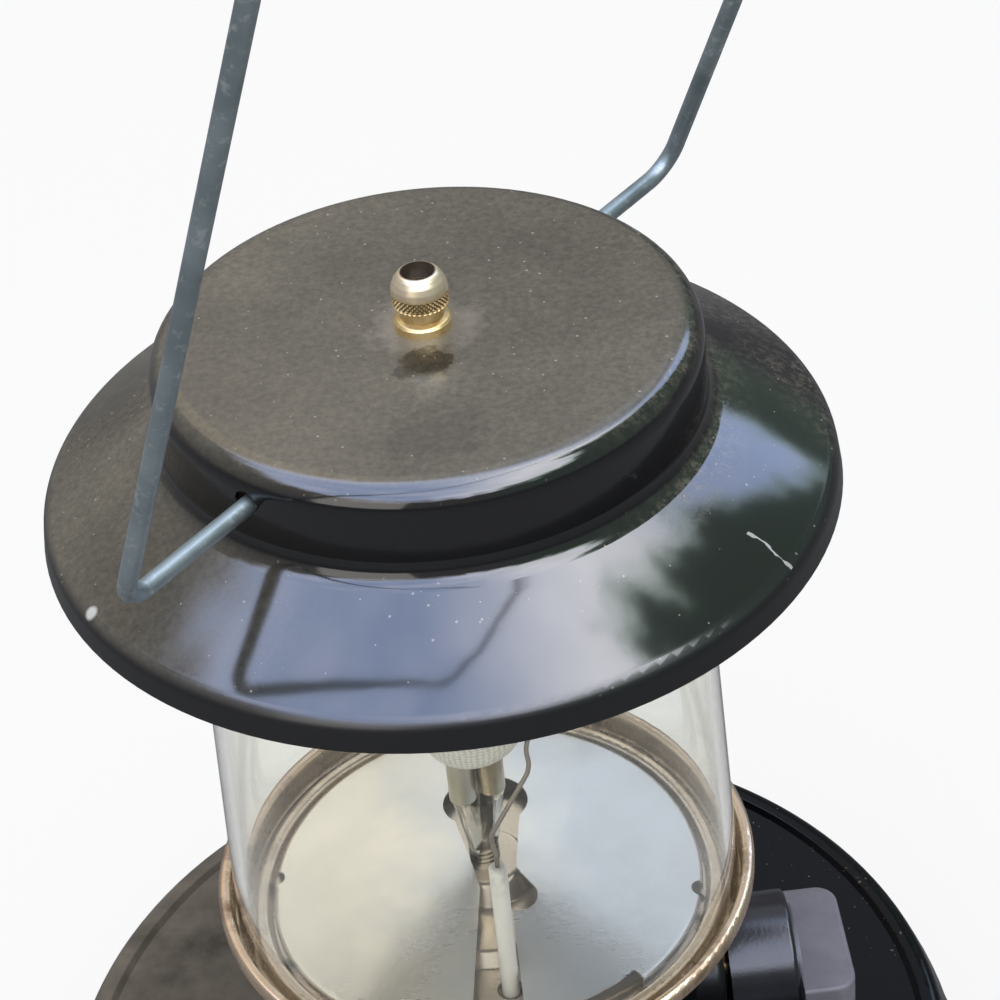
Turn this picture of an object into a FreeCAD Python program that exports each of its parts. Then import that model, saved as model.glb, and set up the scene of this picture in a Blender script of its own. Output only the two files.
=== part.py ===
import FreeCAD, Part
import math
import os
from FreeCAD import Vector

# Propane lantern on its round stand, in millimetres. +Z is up, the origin is the centre of the
# stand's underside, the knob points along +X and -Y is the front.

# Stand: a moulded shell with a socket for the lantern's foot
STAND_R = 109.3
STAND_H = 33.0
STAND_WALL = 2.6
STAND_BAND_H = 15.0
STAND_BAND_STEP = 3.1
STAND_BAND_EDGE_R = 1.2
STAND_SHOULDER_Z = 25.0
STAND_SHOULDER_R = 8.0
STAND_CREST_IN = 10.9
STAND_CREST_W = 4.0
STAND_CREST_H = 1.3
STAND_CREST_OUTER_R = 3.5
STAND_CREST_INNER_R = 0.6
SOCKET_DEPTH = 6.0
SOCKET_HOLE_R = 34.0
STAND_RIBS = 12
STAND_RIB_T = 2.0
STAND_RIB_H = 5.5

# Housing: two plastic half shells that meet in the plane of the knob's axis
FOOT_R = 40.6
FOOT_H = 9.0
HOUSING_LOW_R = 46.0
HOUSING_STEP_H = 2.0
HOUSING_STEP_R = 6.0
HOUSING_TOP_R = 49.5
HOUSING_WALL = 2.2
HOUSING_SHELF_Z = 56.0
HOUSING_SHELF_T = 2.5
HOUSING_MOUTH_GAP = 3.0
SEAM_W = 0.5
SEAM_DEPTH = 0.4
PAD_HALF_WIDTH = 20.0
PAD_TOP_Z = 70.0
PAD_FOOT_GAP = 1.0
PAD_PROUD = 1.1
PAD_CORNER_R = 8.0
PAD_EDGE_R = 2.4
HOUSING_SCREW_X = 33.0
HOUSING_SCREW_ZS = (38.0, 77.0)
HOUSING_SCREW_R = 1.5
HOUSING_SCREW_HEAD_R = 3.0
HOUSING_SCREW_HEAD_H = 2.0
HOUSING_BOSS_R = 3.8
HOUSING_HEAD_DEPTH = 16.0
HOUSING_SCREW_L = 22.0

# Valve: body with the cylinder's threaded inlet below, a side port for the stem and an outlet above
INLET_R = 12.7
INLET_DEPTH = 12.0
INLET_MOUTH_Z = 33.5
INLET_CUP_R = 17.5
INLET_CUP_EDGE = 1.0
WAIST_R = 12.0
VALVE_COLLAR_W = 2.5
VALVE_COLLAR_H = 2.5
VALVE_NECK_H = 1.5
UPPER_BODY_R = 10.0
UPPER_BODY_TOP_Z = 80.0
UPPER_BODY_SLOPE = 2.0
OUTLET_SHOULDER_R = 7.0
OUTLET_R = 2.4
OUTLET_SHORT = 1.5
SEAL_R = 10.7
SEAL_WALL = 3.0
SEAL_T = 1.6
SEAL_SET_IN = 0.6
PIN_R = 1.6
PIN_HOLE_DEPTH = 2.0
KNOB_Z = 51.0
PORT_R = 8.5
PORT_SET_IN = 12.6
PORT_NOSE_L = 3.0
PORT_NOSE_STEP = 1.5
PACKING_FLATS = 14.0
PACKING_L = 6.0
PACKING_BEVEL = 2.0
STEM_R = 2.6
STEM_INNER_X = 14.0
STEM_HOLE_R = 4.6
STEM_FLAT = 0.65
CAP_Z = 69.0
CAP_R = 8.5
CAP_EDGE_R = 1.5
CAP_BOSS_R = 7.0
CAP_START_X = -16.0
CAP_L = 10.0
CAP_FLUTES = 12
CAP_FLUTE_R = 0.8
CAP_FLUTE_OUT = 0.3

# Screws: pan heads with a cross recess
SCREW_EDGE_R = 0.8
CROSS_L = 3.4
CROSS_W = 0.9
CROSS_DEPTH = 1.2

# Knob: round skirt with a pointer rib and a flat paddle to grip
KNOB_GAP = 1.8
SKIRT_R = 16.2
SKIRT_L = 15.5
SKIRT_EDGE_R = 1.2
NECK_R = 12.5
NECK_L = 0.8
GRIP_W = 33.0
GRIP_T = 11.0
GRIP_L = 12.2
GRIP_CORNER_R = 5.0
GRIP_EDGE_R = 0.9
POINTER_START = 2.8
POINTER_L = 5.4
POINTER_W = 8.0
POINTER_H = 1.4
POINTER_ANGLE = 165.0
KNOB_BORE_L = 12.0
KNOB_WALL = 2.5
KNOB_HUB_WALL = 3.0
KNOB_RECESS_L = 6.0

# Igniter: a push-button spark module, its lead and the electrode that stands in the pan
IGNITER_ANGLE = -60.0
IGNITER_Z = 70.0
IGNITER_R = 6.5
IGNITER_PROUD = 1.5
IGNITER_BARREL_R = 7.6
IGNITER_NOSE_L = 5.0
IGNITER_L = 24.0
IGNITER_PAD_R = 10.5
IGNITER_NUT_R = 9.0
IGNITER_NUT_FLATS = 0.92
IGNITER_NUT_L = 3.0
BUTTON_R = 5.4
BUTTON_OUT = 8.0
BUTTON_TRAVEL = 4.0
BUTTON_IN = 3.0
BUTTON_EDGE_R = 1.6
BUTTON_DISH = 0.5
LEAD_R = 1.0
LEAD_STRAIGHT = 8.0
LEAD_RISE = 5.5
LEAD_BENDS = ((3.6, -14.2, 64.4), (-2.8, -18.4, 61.6), (-4.4, -26.4, 62.6), (1.4, -33.0, 67.0))
ELECTRODE_X = 2.3
ELECTRODE_Y = -33.0
INSULATOR_R = 1.9
INSULATOR_LOW_Z = 80.0
INSULATOR_TOP_Z = 125.0
INSULATOR_EDGE = 0.5
ELECTRODE_WIRE_R = 0.5
WIRE_STRAIGHT = 3.0
WIRE_BENDS = ((-0.7, 1.0, 7.8), (8.2, 5.0, 20.5), (8.7, 5.8, 22.4), (8.3, 7.0, 24.9), (11.1, 11.5, 33.0))
WIRE_BEND_RADII = (3.0, 2.5, 4.0, 4.0, 5.0)
CLIP_R = 4.6
CLIP_H = 3.2
CLIP_SLIT = 1.0

# Pan: nickel-plated pressing with a raised centre, a bead that centres the globe and a turned rim
PAN_T = 0.7
PAN_FLOOR_Z = 88.0
PAN_RIM_R = 59.85
PAN_RIM_H = 6.9
PAN_RIM_TURN = 2.6
PAN_RIM_W = 1.9
PAN_RIM_BEND = 0.8
PAN_WALL_LEAN = 0.5
PAN_WALL_BEND = 1.4
PAN_HUB_R = 8.6
PAN_HUB_H = 8.0
PAN_HUB_LEAN = 2.4
PAN_STEP_R = 24.0
PAN_STEP_H = 3.0
PAN_STEP_LEAN = 2.2
PAN_BEND = 1.1
BEAD_W = 3.8
BEAD_H = 3.0
BEAD_LEAN = 1.0
BEAD_BEND = 0.72
PAN_SCREW_CIRCLE_R = 36.0
PAN_SCREW_ANGLES = (90.0, 210.0, 330.0)
PAN_SCREW_R = 1.7
PAN_SCREW_HEAD_R = 3.4
PAN_SCREW_HEAD_H = 2.0
PAN_SCREW_L = 12.0
PAN_BOSS_R = 4.4
PAN_BOSS_L = 14.0
ELECTRODE_HOLE_R = 3.0
VENT_ANGLES = (-16.0, 174.0)
VENT_R = 2.0
VENT_SET_IN = 0.5

# Heat plate: a shallow bright cone with a keyhole for the burner and a slot to the front
PLATE_T = 0.6
PLATE_GAP = 0.9
PLATE_RELIEF = 3.0
PLATE_FRONT_ANGLES = (-131.0, -51.0)
PLATE_RISE = 6.9
PLATE_EDGE_H = 3.2
PLATE_APEX_R = 3.6
PLATE_BEND = 1.2
KEYHOLE_R = 9.75
KEYHOLE_X = 1.5
KEYHOLE_Y = 17.6
SLOT_BACK_Y = 10.8
SLOT_BACK_LEFT = -5.8
SLOT_BACK_RIGHT = 8.8
SLOT_WAIST_LEFT = (-1.9, -10.5)
SLOT_WAIST_RIGHT = (6.6, -6.0)
SLOT_FRONT_LEFT = -6.8
SLOT_RIGHT = 4.6
SLOT_NOTCH_R = 4.3
SLOT_NOTCH_X = 6.2
SLOT_NOTCH_Y = -13.5
SLOT_NOTCH_START = (9.3, -10.5)
SLOT_MOUTH_R = 3.0

# Burner: gas stem, two air tubes, cast head, two caps, two mantles and the stud for the top
STEM_NUT_R = 3.4
STEM_NUT_H = 5.0
STEM_NUT_GROOVES = 3
STEM_NUT_GROOVE_W = 0.6
STEM_NUT_GROOVE_DEPTH = 0.5
JET_R = 0.9
JET_SPIGOT_L = 3.0
CONE_SIDES = 12
CONE_LOW_R = 3.5
CONE_TOP_R = 6.3
CONE_H = 16.0
STEM_TUBE_R = 3.45
STEM_TUBE_WALL = 0.5
AIR_TUBE_R = 2.95
AIR_TUBE_WALL = 0.5
AIR_TUBE_X = 3.2
AIR_TUBE_Y = -6.1
AIR_TUBE_LOW_Z = 121.5
AIR_TUBE_STEP = 1.0
HEAD_Z = 185.0
HEAD_H = 12.0
HEAD_W = 22.0
HEAD_EDGE_R = 3.0
HEAD_SOCKET = 5.0
HEAD_BOSS_R = 6.0
HEAD_BOSS_H = 6.0
BURNER_Y = 22.5
BURNER_COLLAR_R = 7.4
BURNER_COLLAR_H = 3.0
CAP_TUBE_R = 5.6
CAP_TUBE_L = 11.0
CAP_BORE_R = 4.4
CAP_ROOF = 1.0
CAP_GROOVE_DROP = 4.0
CAP_GROOVE = 0.7
CAP_GROOVE_W = 1.6
CAP_GROOVE_LEAN = 0.4
CAP_SPIGOT_R = 4.0
CAP_SPIGOT_L = 4.0
CAP_SPIGOT_WALL = 1.2
MANTLE_R = 12.6
MANTLE_L = 38.0
MANTLE_CLOTH = 0.7
MANTLE_TIE_DROP = 2.6
MANTLE_FOOT_R = 8.0
MANTLE_FOOT_BEND = 5.0
MANTLE_WIDE_DROP = 12.0
MANTLE_WIDE_BEND = 6.0
STUD_R = 2.9
STUD_DEPTH = 4.0
STUD_TOP_DROP = 4.5
NUT_FLATS = 10.0
NUT_H = 5.0
BAFFLE_T = 0.6
BAFFLE_R = 44.0
BAFFLE_FLAT_R = 26.0
BAFFLE_DROP = 7.0
BAFFLE_LIP_W = 1.5
BAFFLE_LIP_H = 3.0
BAFFLE_BEND = 6.0
BAFFLE_LIP_BEND = 1.5
BAFFLE_Z = 212.0

# Globe: clear glass, a little wider below
GLOBE_H = 124.0
GLOBE_LOW_R = 56.4
GLOBE_TOP_R = 51.2
GLOBE_WALL = 2.5
GLOBE_EDGE_R = 0.9
GLOBE_GAP = 0.7

# Ventilator: enamelled pressing with a flat crown, a short wall and a flared brim
VENT_T = 0.9
CROWN_Z = 238.4
CROWN_R = 54.0
CROWN_BEND_R = 5.0
WALL_H = 19.0
NECK_BEND_R = 6.0
BRIM_R = 80.0
BRIM_Z = 205.5
BRIM_BEND_R = 3.6
LIP_H = 5.5
LIP_LEAN = 0.8

# Ball nut: brass, with a flange, a neck, a knurled band and a rounded open top
BALL_FLANGE_R = 5.65
BALL_FLANGE_H = 2.0
BALL_NECK_R = 4.3
BALL_NECK_H = 3.0
BALL_BAND_R = 5.6
BALL_BAND_H = 3.0
BALL_EDGE = 0.4
BALL_DOME_BEND = 2.8
BALL_MOUTH_R = 3.3
BALL_MOUTH_DEPTH = 3.6
BALL_H = 12.2

# Bail: one bent wire, hooked into two holes in the ventilator's wall
BAIL_WIRE_R = 1.8
BAIL_ANGLE = 48.2
BAIL_TILT = 22.3
BAIL_Z = 229.9
BAIL_HOLE_R = 2.6
BAIL_HALF = 84.9
BAIL_SPLAY = 3.0
BAIL_HEIGHT = 196.0
BAIL_END_INSIDE = 6.5
BAIL_SHIFT = -2.5
BAIL_LOW_BEND_R = 7.0
BAIL_TOP_BEND_R = 48.0

# Clearances
FIT = 0.05
SLIDE_GAP = 0.4
LOOSE = 0.3
# How far a tool runs past what it cuts, and a rib sinks into the wall that it joins
PAST = 1.0
ROOT = 0.5

# Heights and radii that follow from the sizes above
STAND_CREST_R = STAND_R - STAND_CREST_IN
HOUSING_BASE_Z = STAND_H - SOCKET_DEPTH
INLET_ROOF_Z = INLET_MOUTH_Z + INLET_DEPTH
VALVE_COLLAR_Z = HOUSING_SHELF_Z + HOUSING_SHELF_T
PAD_FACE_X = HOUSING_TOP_R + PAD_PROUD
PORT_END_X = PAD_FACE_X - PORT_SET_IN
KNOB_START_X = PAD_FACE_X + KNOB_GAP
IGNITER_FACE_R = HOUSING_TOP_R + IGNITER_PROUD
IGNITER_BARREL_END = IGNITER_FACE_R - IGNITER_NOSE_L
IGNITER_INNER_R = IGNITER_FACE_R - IGNITER_L
PAN_UNDER_Z = PAN_FLOOR_Z - PAN_T
HUB_TOP_Z = PAN_FLOOR_Z + PAN_HUB_H
STEM_NUT_TOP_Z = HUB_TOP_Z + STEM_NUT_H
CONE_TOP_Z = STEM_NUT_TOP_Z + CONE_H
GLOBE_BEAD_R = GLOBE_LOW_R - GLOBE_WALL - GLOBE_GAP
PLATE_R = GLOBE_BEAD_R - PAN_T / 2 - BEAD_W - PLATE_GAP
CROWN_UNDER_Z = CROWN_Z - VENT_T
HEAD_TOP_Z = HEAD_Z + HEAD_H
CAP_TOP_Z = HEAD_Z - BURNER_COLLAR_H
CAP_LOW_Z = CAP_TOP_Z - CAP_TUBE_L


def flat(point):
    """A point of a section, given as (radius, height), in the XZ plane."""
    return Vector(point[0], 0, point[1])


def bend_points(before, corner, after, radius):
    """The start, middle and end of the arc that rounds a corner of a path."""
    u = (corner - before).normalize()
    v = (after - corner).normalize()
    half = u.getAngle(v) / 2
    reach = radius * math.tan(half)
    inward = (v - u).normalize()
    centre = corner + inward * (radius / math.cos(half))
    return corner - u * reach, centre - inward * radius, corner + v * reach


def section(*corners):
    """A closed face in the XZ plane. A corner is (radius, height), or has its bend as a third number."""
    points = [flat(corner) for corner in corners]
    edges = []
    runs = []
    for index, corner in enumerate(corners):
        start = end = points[index]
        if len(corner) == 3:
            after = points[(index + 1) % len(points)]
            start, middle, end = bend_points(points[index - 1], points[index], after, corner[2])
            edges.append(Part.Arc(start, middle, end).toShape())
        runs.append((start, end))
    for index, run in enumerate(runs):
        after = runs[(index + 1) % len(runs)][0]
        if not run[1].isEqual(after, 1e-6):
            edges.append(Part.LineSegment(run[1], after).toShape())
    return Part.Face(Part.Wire(Part.__sortEdges__(edges)))


def turned(face):
    """The solid that a section makes when it turns once about the Z axis."""
    return face.revolve(Vector(0, 0, 0), Vector(0, 0, 1), 360)


def rod(radius, low, high, x=0.0, y=0.0):
    """An upright cylinder between two heights."""
    return Part.makeCylinder(radius, high - low, Vector(x, y, low))


def tube(outer, inner, low, high, x=0.0, y=0.0):
    """An upright tube between two heights."""
    return rod(outer, low, high, x, y).cut(rod(inner, low - PAST, high + PAST, x, y))


def rod_x(radius, start, end, z, y=0.0):
    """A cylinder along X between two places."""
    return Part.makeCylinder(radius, end - start, Vector(start, y, z), Vector(1, 0, 0))


def rod_y(radius, start, end, x, z):
    """A cylinder along Y between two places."""
    return Part.makeCylinder(radius, end - start, Vector(x, start, z), Vector(0, 1, 0))


def polygon(sides, reach, z):
    """A regular polygon about the Z axis, by the distance of its corners."""
    corners = []
    for corner in range(sides + 1):
        angle = 2 * math.pi * corner / sides
        corners.append(Vector(reach * math.cos(angle), reach * math.sin(angle), z))
    return Part.makePolygon(corners)


def hexagon(flats, low, high):
    """An upright hexagonal prism on the Z axis, by its size across the flats."""
    return Part.Face(polygon(6, flats / math.sqrt(3), low)).extrude(Vector(0, 0, high - low))


def spun(shape, angle):
    """A copy of a shape, turned about the Z axis by an angle in degrees."""
    copy = shape.copy()
    copy.rotate(Vector(0, 0, 0), Vector(0, 0, 1), angle)
    return copy


def around(shape, angles):
    """Copies of a shape about the Z axis, one for each angle."""
    return [spun(shape, angle) for angle in angles]


def laid_along_x(shape, x, z):
    """Lays a shape that was made along +Z along +X, and sets it at a place on that axis."""
    shape.rotate(Vector(0, 0, 0), Vector(0, 1, 0), 90)
    shape.translate(Vector(x, 0, z))
    return shape


def rounded_path(corners, radii):
    """Edges of a path through corner points, each inner corner rounded to its radius."""
    edges = []
    here = corners[0]
    for index, radius in enumerate(radii):
        corner = corners[index + 1]
        start, middle, end = bend_points(corners[index], corner, corners[index + 2], radius)
        if not start.isEqual(here, 1e-6):
            edges.append(Part.LineSegment(here, start).toShape())
        edges.append(Part.Arc(start, middle, end).toShape())
        here = end
    edges.append(Part.LineSegment(here, corners[-1]).toShape())
    return edges


def shifted_corners(corners, shift):
    """The corners of a flat path, moved sideways so that each straight keeps its distance."""
    moved = []
    normals = []
    for first, second in zip(corners, corners[1:]):
        along = (second - first).normalize()
        normals.append(Vector(-along.z, 0, along.x))
    moved.append(corners[0] + normals[0] * shift)
    for index in range(1, len(corners) - 1):
        one = normals[index - 1]
        two = normals[index]
        moved.append(corners[index] + (one + two) * (shift / (1 + one.dot(two))))
    moved.append(corners[-1] + normals[-1] * shift)
    return moved


def bent_sheet(thickness, *corners):
    """A turned sheet: its middle line runs through (radius, height) corners with bend radii."""
    middle = [flat(corner) for corner in corners]
    sides = []
    for shift in (thickness / 2, -thickness / 2):
        sharp = shifted_corners(middle, shift)
        radii = []
        for index, corner in enumerate(corners[1:-1]):
            before = middle[index + 1] - middle[index]
            after = middle[index + 2] - middle[index + 1]
            turn = 1 if before.cross(after).y < 0 else -1
            radii.append(max(corner[2] - turn * shift, 0.05))
        sides.append((sharp, rounded_path(sharp, radii)))
    caps = []
    for end in (0, -1):
        caps.append(Part.LineSegment(sides[0][0][end], sides[1][0][end]).toShape())
    edges = sides[0][1] + sides[1][1] + caps
    return turned(Part.Face(Part.Wire(Part.__sortEdges__(edges))))


def wire_along(corners, radii, wire_r):
    """A round wire along a path of straights and tangent arcs."""
    path = Part.Wire(rounded_path(corners, radii))
    along = corners[1] - corners[0]
    ring = Part.Wire(Part.makeCircle(wire_r, corners[0], along))
    pipe = Part.BRepOffsetAPI.MakePipeShell(path)
    pipe.add(ring)
    pipe.build()
    pipe.makeSolid()
    return pipe.shape()


def lasting_radii(corners):
    """Bend radii as large as the two runs beside each corner allow."""
    radii = []
    for before, corner, after in zip(corners, corners[1:], corners[2:]):
        shorter = min(before.distanceToPoint(corner), corner.distanceToPoint(after))
        half = (corner - before).getAngle(after - corner) / 2
        radii.append(0.45 * shorter / math.tan(half))
    return radii


def base_dish():
    """A turned shell with a foot band, a raised crest and a socket, ribbed underneath."""
    wall = STAND_WALL
    band_r = STAND_R - STAND_BAND_STEP
    crest_z = STAND_H + STAND_CREST_H
    under = STAND_H - wall
    socket_r = FOOT_R + SLIDE_GAP
    ledge_under = HOUSING_BASE_Z - wall
    shell = turned(section(
        (STAND_R, 0), (STAND_R, STAND_BAND_H, STAND_BAND_EDGE_R), (band_r, STAND_BAND_H),
        (band_r, STAND_SHOULDER_Z, STAND_SHOULDER_R),
        (STAND_CREST_R + STAND_CREST_W, crest_z, STAND_CREST_OUTER_R),
        (STAND_CREST_R, crest_z, STAND_CREST_INNER_R),
        (STAND_CREST_R - STAND_CREST_H, STAND_H),
        (socket_r, STAND_H), (socket_r, HOUSING_BASE_Z),
        (SOCKET_HOLE_R, HOUSING_BASE_Z), (SOCKET_HOLE_R, ledge_under),
        (socket_r + wall, ledge_under), (socket_r + wall, under), (STAND_CREST_R, under),
        (band_r - wall, STAND_SHOULDER_Z - wall), (band_r - wall, STAND_BAND_H - wall),
        (STAND_R - wall, STAND_BAND_H - wall), (STAND_R - wall, 0)))
    rib_start = socket_r + wall - ROOT
    rib_end = band_r - wall + ROOT
    rib = section(
        (rib_start, under + ROOT), (rib_start, under - STAND_RIB_H),
        (rib_end, STAND_BAND_H - wall), (rib_end, STAND_SHOULDER_Z - wall),
        (STAND_CREST_R, under + ROOT))
    rib.translate(Vector(0, -STAND_RIB_T / 2, 0))
    rib = rib.extrude(Vector(0, STAND_RIB_T, 0))
    angles = [360.0 / STAND_RIBS * (index + 0.5) for index in range(STAND_RIBS)]
    return shell.fuse(around(rib, angles)).removeSplitter()


def housing_form(inset):
    """The housing's outer form, or its hollow when it is drawn in by the wall."""
    low_z = HOUSING_BASE_Z + FOOT_H
    top_z = PAN_UNDER_Z - inset
    return turned(section(
        (0, HOUSING_BASE_Z), (FOOT_R - inset, HOUSING_BASE_Z), (FOOT_R - inset, low_z),
        (HOUSING_LOW_R - inset, low_z + HOUSING_STEP_H, HOUSING_STEP_R),
        (HOUSING_TOP_R - inset, top_z), (0, top_z)))


def knob_pad(inset):
    """The flat-faced pad on the housing's right side, or its hollow."""
    low_z = STAND_H + PAD_FOOT_GAP + inset
    half = PAD_HALF_WIDTH - inset
    face_x = PAD_FACE_X - inset
    pad = Part.makeBox(face_x, 2 * half, PAD_TOP_Z - inset - low_z, Vector(0, -half, low_z))
    corners = [edge for edge in pad.Edges if edge.BoundBox.XLength > face_x / 2]
    pad = pad.makeFillet(PAD_CORNER_R - inset, corners)
    if inset > 0:
        return pad
    rim = [edge for edge in pad.Edges if edge.BoundBox.XMin > face_x - 0.01]
    return pad.makeFillet(PAD_EDGE_R, rim)


def igniter_frame(shape):
    """Moves a shape that was made along +X at height zero to the igniter's own line."""
    shape.translate(Vector(0, 0, IGNITER_Z))
    return spun(shape, IGNITER_ANGLE)


def pan_screw_places():
    """Where each pan screw stands, in plan."""
    places = []
    for angle in PAN_SCREW_ANGLES:
        turn = math.radians(angle)
        places.append((PAN_SCREW_CIRCLE_R * math.cos(turn), PAN_SCREW_CIRCLE_R * math.sin(turn)))
    return places


def housing_screw_places():
    """The line of each housing screw, as its X and Z."""
    return [(side * HOUSING_SCREW_X, z) for side in (-1, 1) for z in HOUSING_SCREW_ZS]


def housing_fittings():
    """What is moulded inside the shells: the valve's shelf, the screw bosses and the pan's bosses."""
    reach = PAD_FACE_X
    shelf = tube(reach, WAIST_R + FIT, HOUSING_SHELF_Z, VALVE_COLLAR_Z)
    fittings = [shelf.cut(rod_x(PORT_R + LOOSE, 0, reach, KNOB_Z))]
    for x, y in pan_screw_places():
        fittings.append(rod(PAN_BOSS_R, PAN_UNDER_Z - PAN_BOSS_L, PAN_UNDER_Z, x, y))
    for x, z in housing_screw_places():
        fittings.append(rod_y(HOUSING_BOSS_R, -reach, reach, x, z))
    inside = housing_form(HOUSING_WALL / 2)
    return [fitting.common(inside) for fitting in fittings]


def housing_holes():
    """The holes for the pan's hub, the stem, the electrode, the igniter and the screws."""
    roof_low = PAN_UNDER_Z - HOUSING_WALL - PAST
    roof_high = PAN_UNDER_Z + PAST
    mouth_r = PAN_STEP_R + HOUSING_MOUTH_GAP
    holes = [rod(mouth_r, roof_low, roof_high)]
    holes.append(rod(CLIP_R + LOOSE, roof_low, roof_high, ELECTRODE_X, ELECTRODE_Y))
    holes.append(rod_x(STEM_HOLE_R, PORT_END_X, PAD_FACE_X + PAST, KNOB_Z))
    face = IGNITER_FACE_R + PAST
    holes.append(igniter_frame(rod_x(IGNITER_R + FIT, IGNITER_INNER_R, face, 0)))
    barrel_r = IGNITER_BARREL_R + LOOSE
    holes.append(igniter_frame(rod_x(barrel_r, IGNITER_INNER_R - PAST, IGNITER_BARREL_END, 0)))
    for x, y in pan_screw_places():
        holes.append(rod(PAN_SCREW_R + FIT, PAN_UNDER_Z - PAN_SCREW_L, roof_high, x, y))
    head_y = HOUSING_HEAD_DEPTH
    shank_end = head_y - HOUSING_SCREW_L - PAST
    for x, z in housing_screw_places():
        holes.append(rod_y(HOUSING_SCREW_HEAD_R + FIT, head_y, PAD_FACE_X, x, z))
        holes.append(rod_y(HOUSING_SCREW_R + FIT, shank_end, head_y + PAST, x, z))
    return holes


def whole_housing():
    """Both shells as one, before they part at the seam."""
    outside = housing_form(0).fuse(knob_pad(0))
    outside = outside.fuse(igniter_frame(rod_x(IGNITER_PAD_R, 0, IGNITER_FACE_R, 0)))
    housing = outside.cut([housing_form(HOUSING_WALL), knob_pad(HOUSING_WALL)])
    housing = housing.fuse(housing_fittings()).cut(housing_holes())
    seam = Part.makeBox(4 * PAD_FACE_X, SEAM_W, 2 * PAN_FLOOR_Z,
                        Vector(-2 * PAD_FACE_X, -SEAM_W / 2, -PAN_FLOOR_Z / 2))
    core = housing_form(SEAM_DEPTH).fuse(knob_pad(SEAM_DEPTH))
    below = rod(HOUSING_TOP_R, 0, HOUSING_BASE_Z + SEAM_DEPTH)
    above = rod(HOUSING_TOP_R, PAN_UNDER_Z - SEAM_DEPTH, PAN_FLOOR_Z)
    return housing.cut(seam.cut([core, below, above]))


def housing_half(side):
    """The front shell for -1, the rear shell for 1."""
    reach = 2 * PAD_FACE_X
    keep = Part.makeBox(2 * reach, reach, PAN_FLOOR_Z, Vector(-reach, min(side, 0) * reach, 0))
    return whole_housing().common(keep)


def cross_screw(head_r, head_h, shank_r, shank_l):
    """An upright screw whose head rests at height zero, recessed for a cross driver."""
    screw = turned(section(
        (0, -shank_l), (shank_r, -shank_l), (shank_r, 0), (head_r, 0),
        (head_r, head_h, SCREW_EDGE_R), (0, head_h)))
    arm = Part.makeBox(CROSS_L, CROSS_W, head_h,
                       Vector(-CROSS_L / 2, -CROSS_W / 2, head_h - CROSS_DEPTH))
    return screw.cut([arm, spun(arm, 90)])


def set_at(shape, places):
    """Copies of a shape at each place, as one node."""
    copies = []
    for x, y, z in places:
        copy = shape.copy()
        copy.translate(Vector(x, y, z))
        copies.append(copy)
    return Part.makeCompound(copies)


def housing_screws():
    """Self-tapping screws, put in from behind."""
    screw = cross_screw(HOUSING_SCREW_HEAD_R, HOUSING_SCREW_HEAD_H, HOUSING_SCREW_R, HOUSING_SCREW_L)
    screw.rotate(Vector(0, 0, 0), Vector(1, 0, 0), -90)
    return set_at(screw, [(x, HOUSING_HEAD_DEPTH, z) for x, z in housing_screw_places()])


def valve_profile():
    """The turned form of the valve: the inlet's cup, the waist, a collar and the outlet."""
    jet_seat = HUB_TOP_Z - PAN_T
    outlet_end = STEM_NUT_TOP_Z - OUTLET_SHORT
    collar_r = WAIST_R + VALVE_COLLAR_W
    collar_top = VALVE_COLLAR_Z + VALVE_COLLAR_H
    return turned(section(
        (0, INLET_MOUTH_Z), (INLET_CUP_R - INLET_CUP_EDGE, INLET_MOUTH_Z),
        (INLET_CUP_R, INLET_MOUTH_Z + INLET_CUP_EDGE), (INLET_CUP_R, HOUSING_SHELF_Z),
        (WAIST_R, HOUSING_SHELF_Z), (WAIST_R, VALVE_COLLAR_Z), (collar_r, VALVE_COLLAR_Z),
        (collar_r, collar_top), (UPPER_BODY_R, collar_top + VALVE_NECK_H),
        (UPPER_BODY_R, UPPER_BODY_TOP_Z - UPPER_BODY_SLOPE), (OUTLET_SHOULDER_R, UPPER_BODY_TOP_Z),
        (OUTLET_SHOULDER_R, jet_seat), (OUTLET_R, jet_seat), (OUTLET_R, outlet_end),
        (0, outlet_end)))


def regulator_body():
    """The brass body, bored for the cylinder, the seal, the pin and the stem."""
    body = valve_profile().fuse(rod_x(CAP_BOSS_R, CAP_START_X, 0, CAP_Z))
    seal_top = INLET_ROOF_Z + SEAL_SET_IN + SEAL_T
    return body.cut([
        rod(INLET_R, INLET_MOUTH_Z - PAST, INLET_ROOF_Z),
        rod(SEAL_R, INLET_ROOF_Z - PAST, seal_top),
        rod(PIN_R + FIT, INLET_ROOF_Z, seal_top + PIN_HOLE_DEPTH),
        rod_x(STEM_R + FIT, STEM_INNER_X - PAST, INLET_CUP_R + PAST, KNOB_Z)])


def valve_port():
    """The stem's guide: a brass tube with a stepped nose, shaped to the body and brazed on."""
    port = rod_x(PORT_R, 0, PORT_END_X - PORT_NOSE_L, KNOB_Z)
    port = port.fuse(rod_x(PORT_R - PORT_NOSE_STEP, 0, PORT_END_X, KNOB_Z))
    bore = rod_x(STEM_R + FIT, -PAST, PORT_END_X + PAST, KNOB_Z)
    return port.cut([valve_profile(), bore])


def inlet_seal():
    """A flat rubber ring in its seat in the inlet's roof."""
    low = INLET_ROOF_Z + SEAL_SET_IN
    return tube(SEAL_R - FIT, SEAL_R - SEAL_WALL, low, low + SEAL_T)


def depressor_pin():
    """The pin that opens the cylinder's valve."""
    low = INLET_ROOF_Z + SEAL_SET_IN
    return rod(PIN_R, low, low + SEAL_T + PIN_HOLE_DEPTH)


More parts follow.
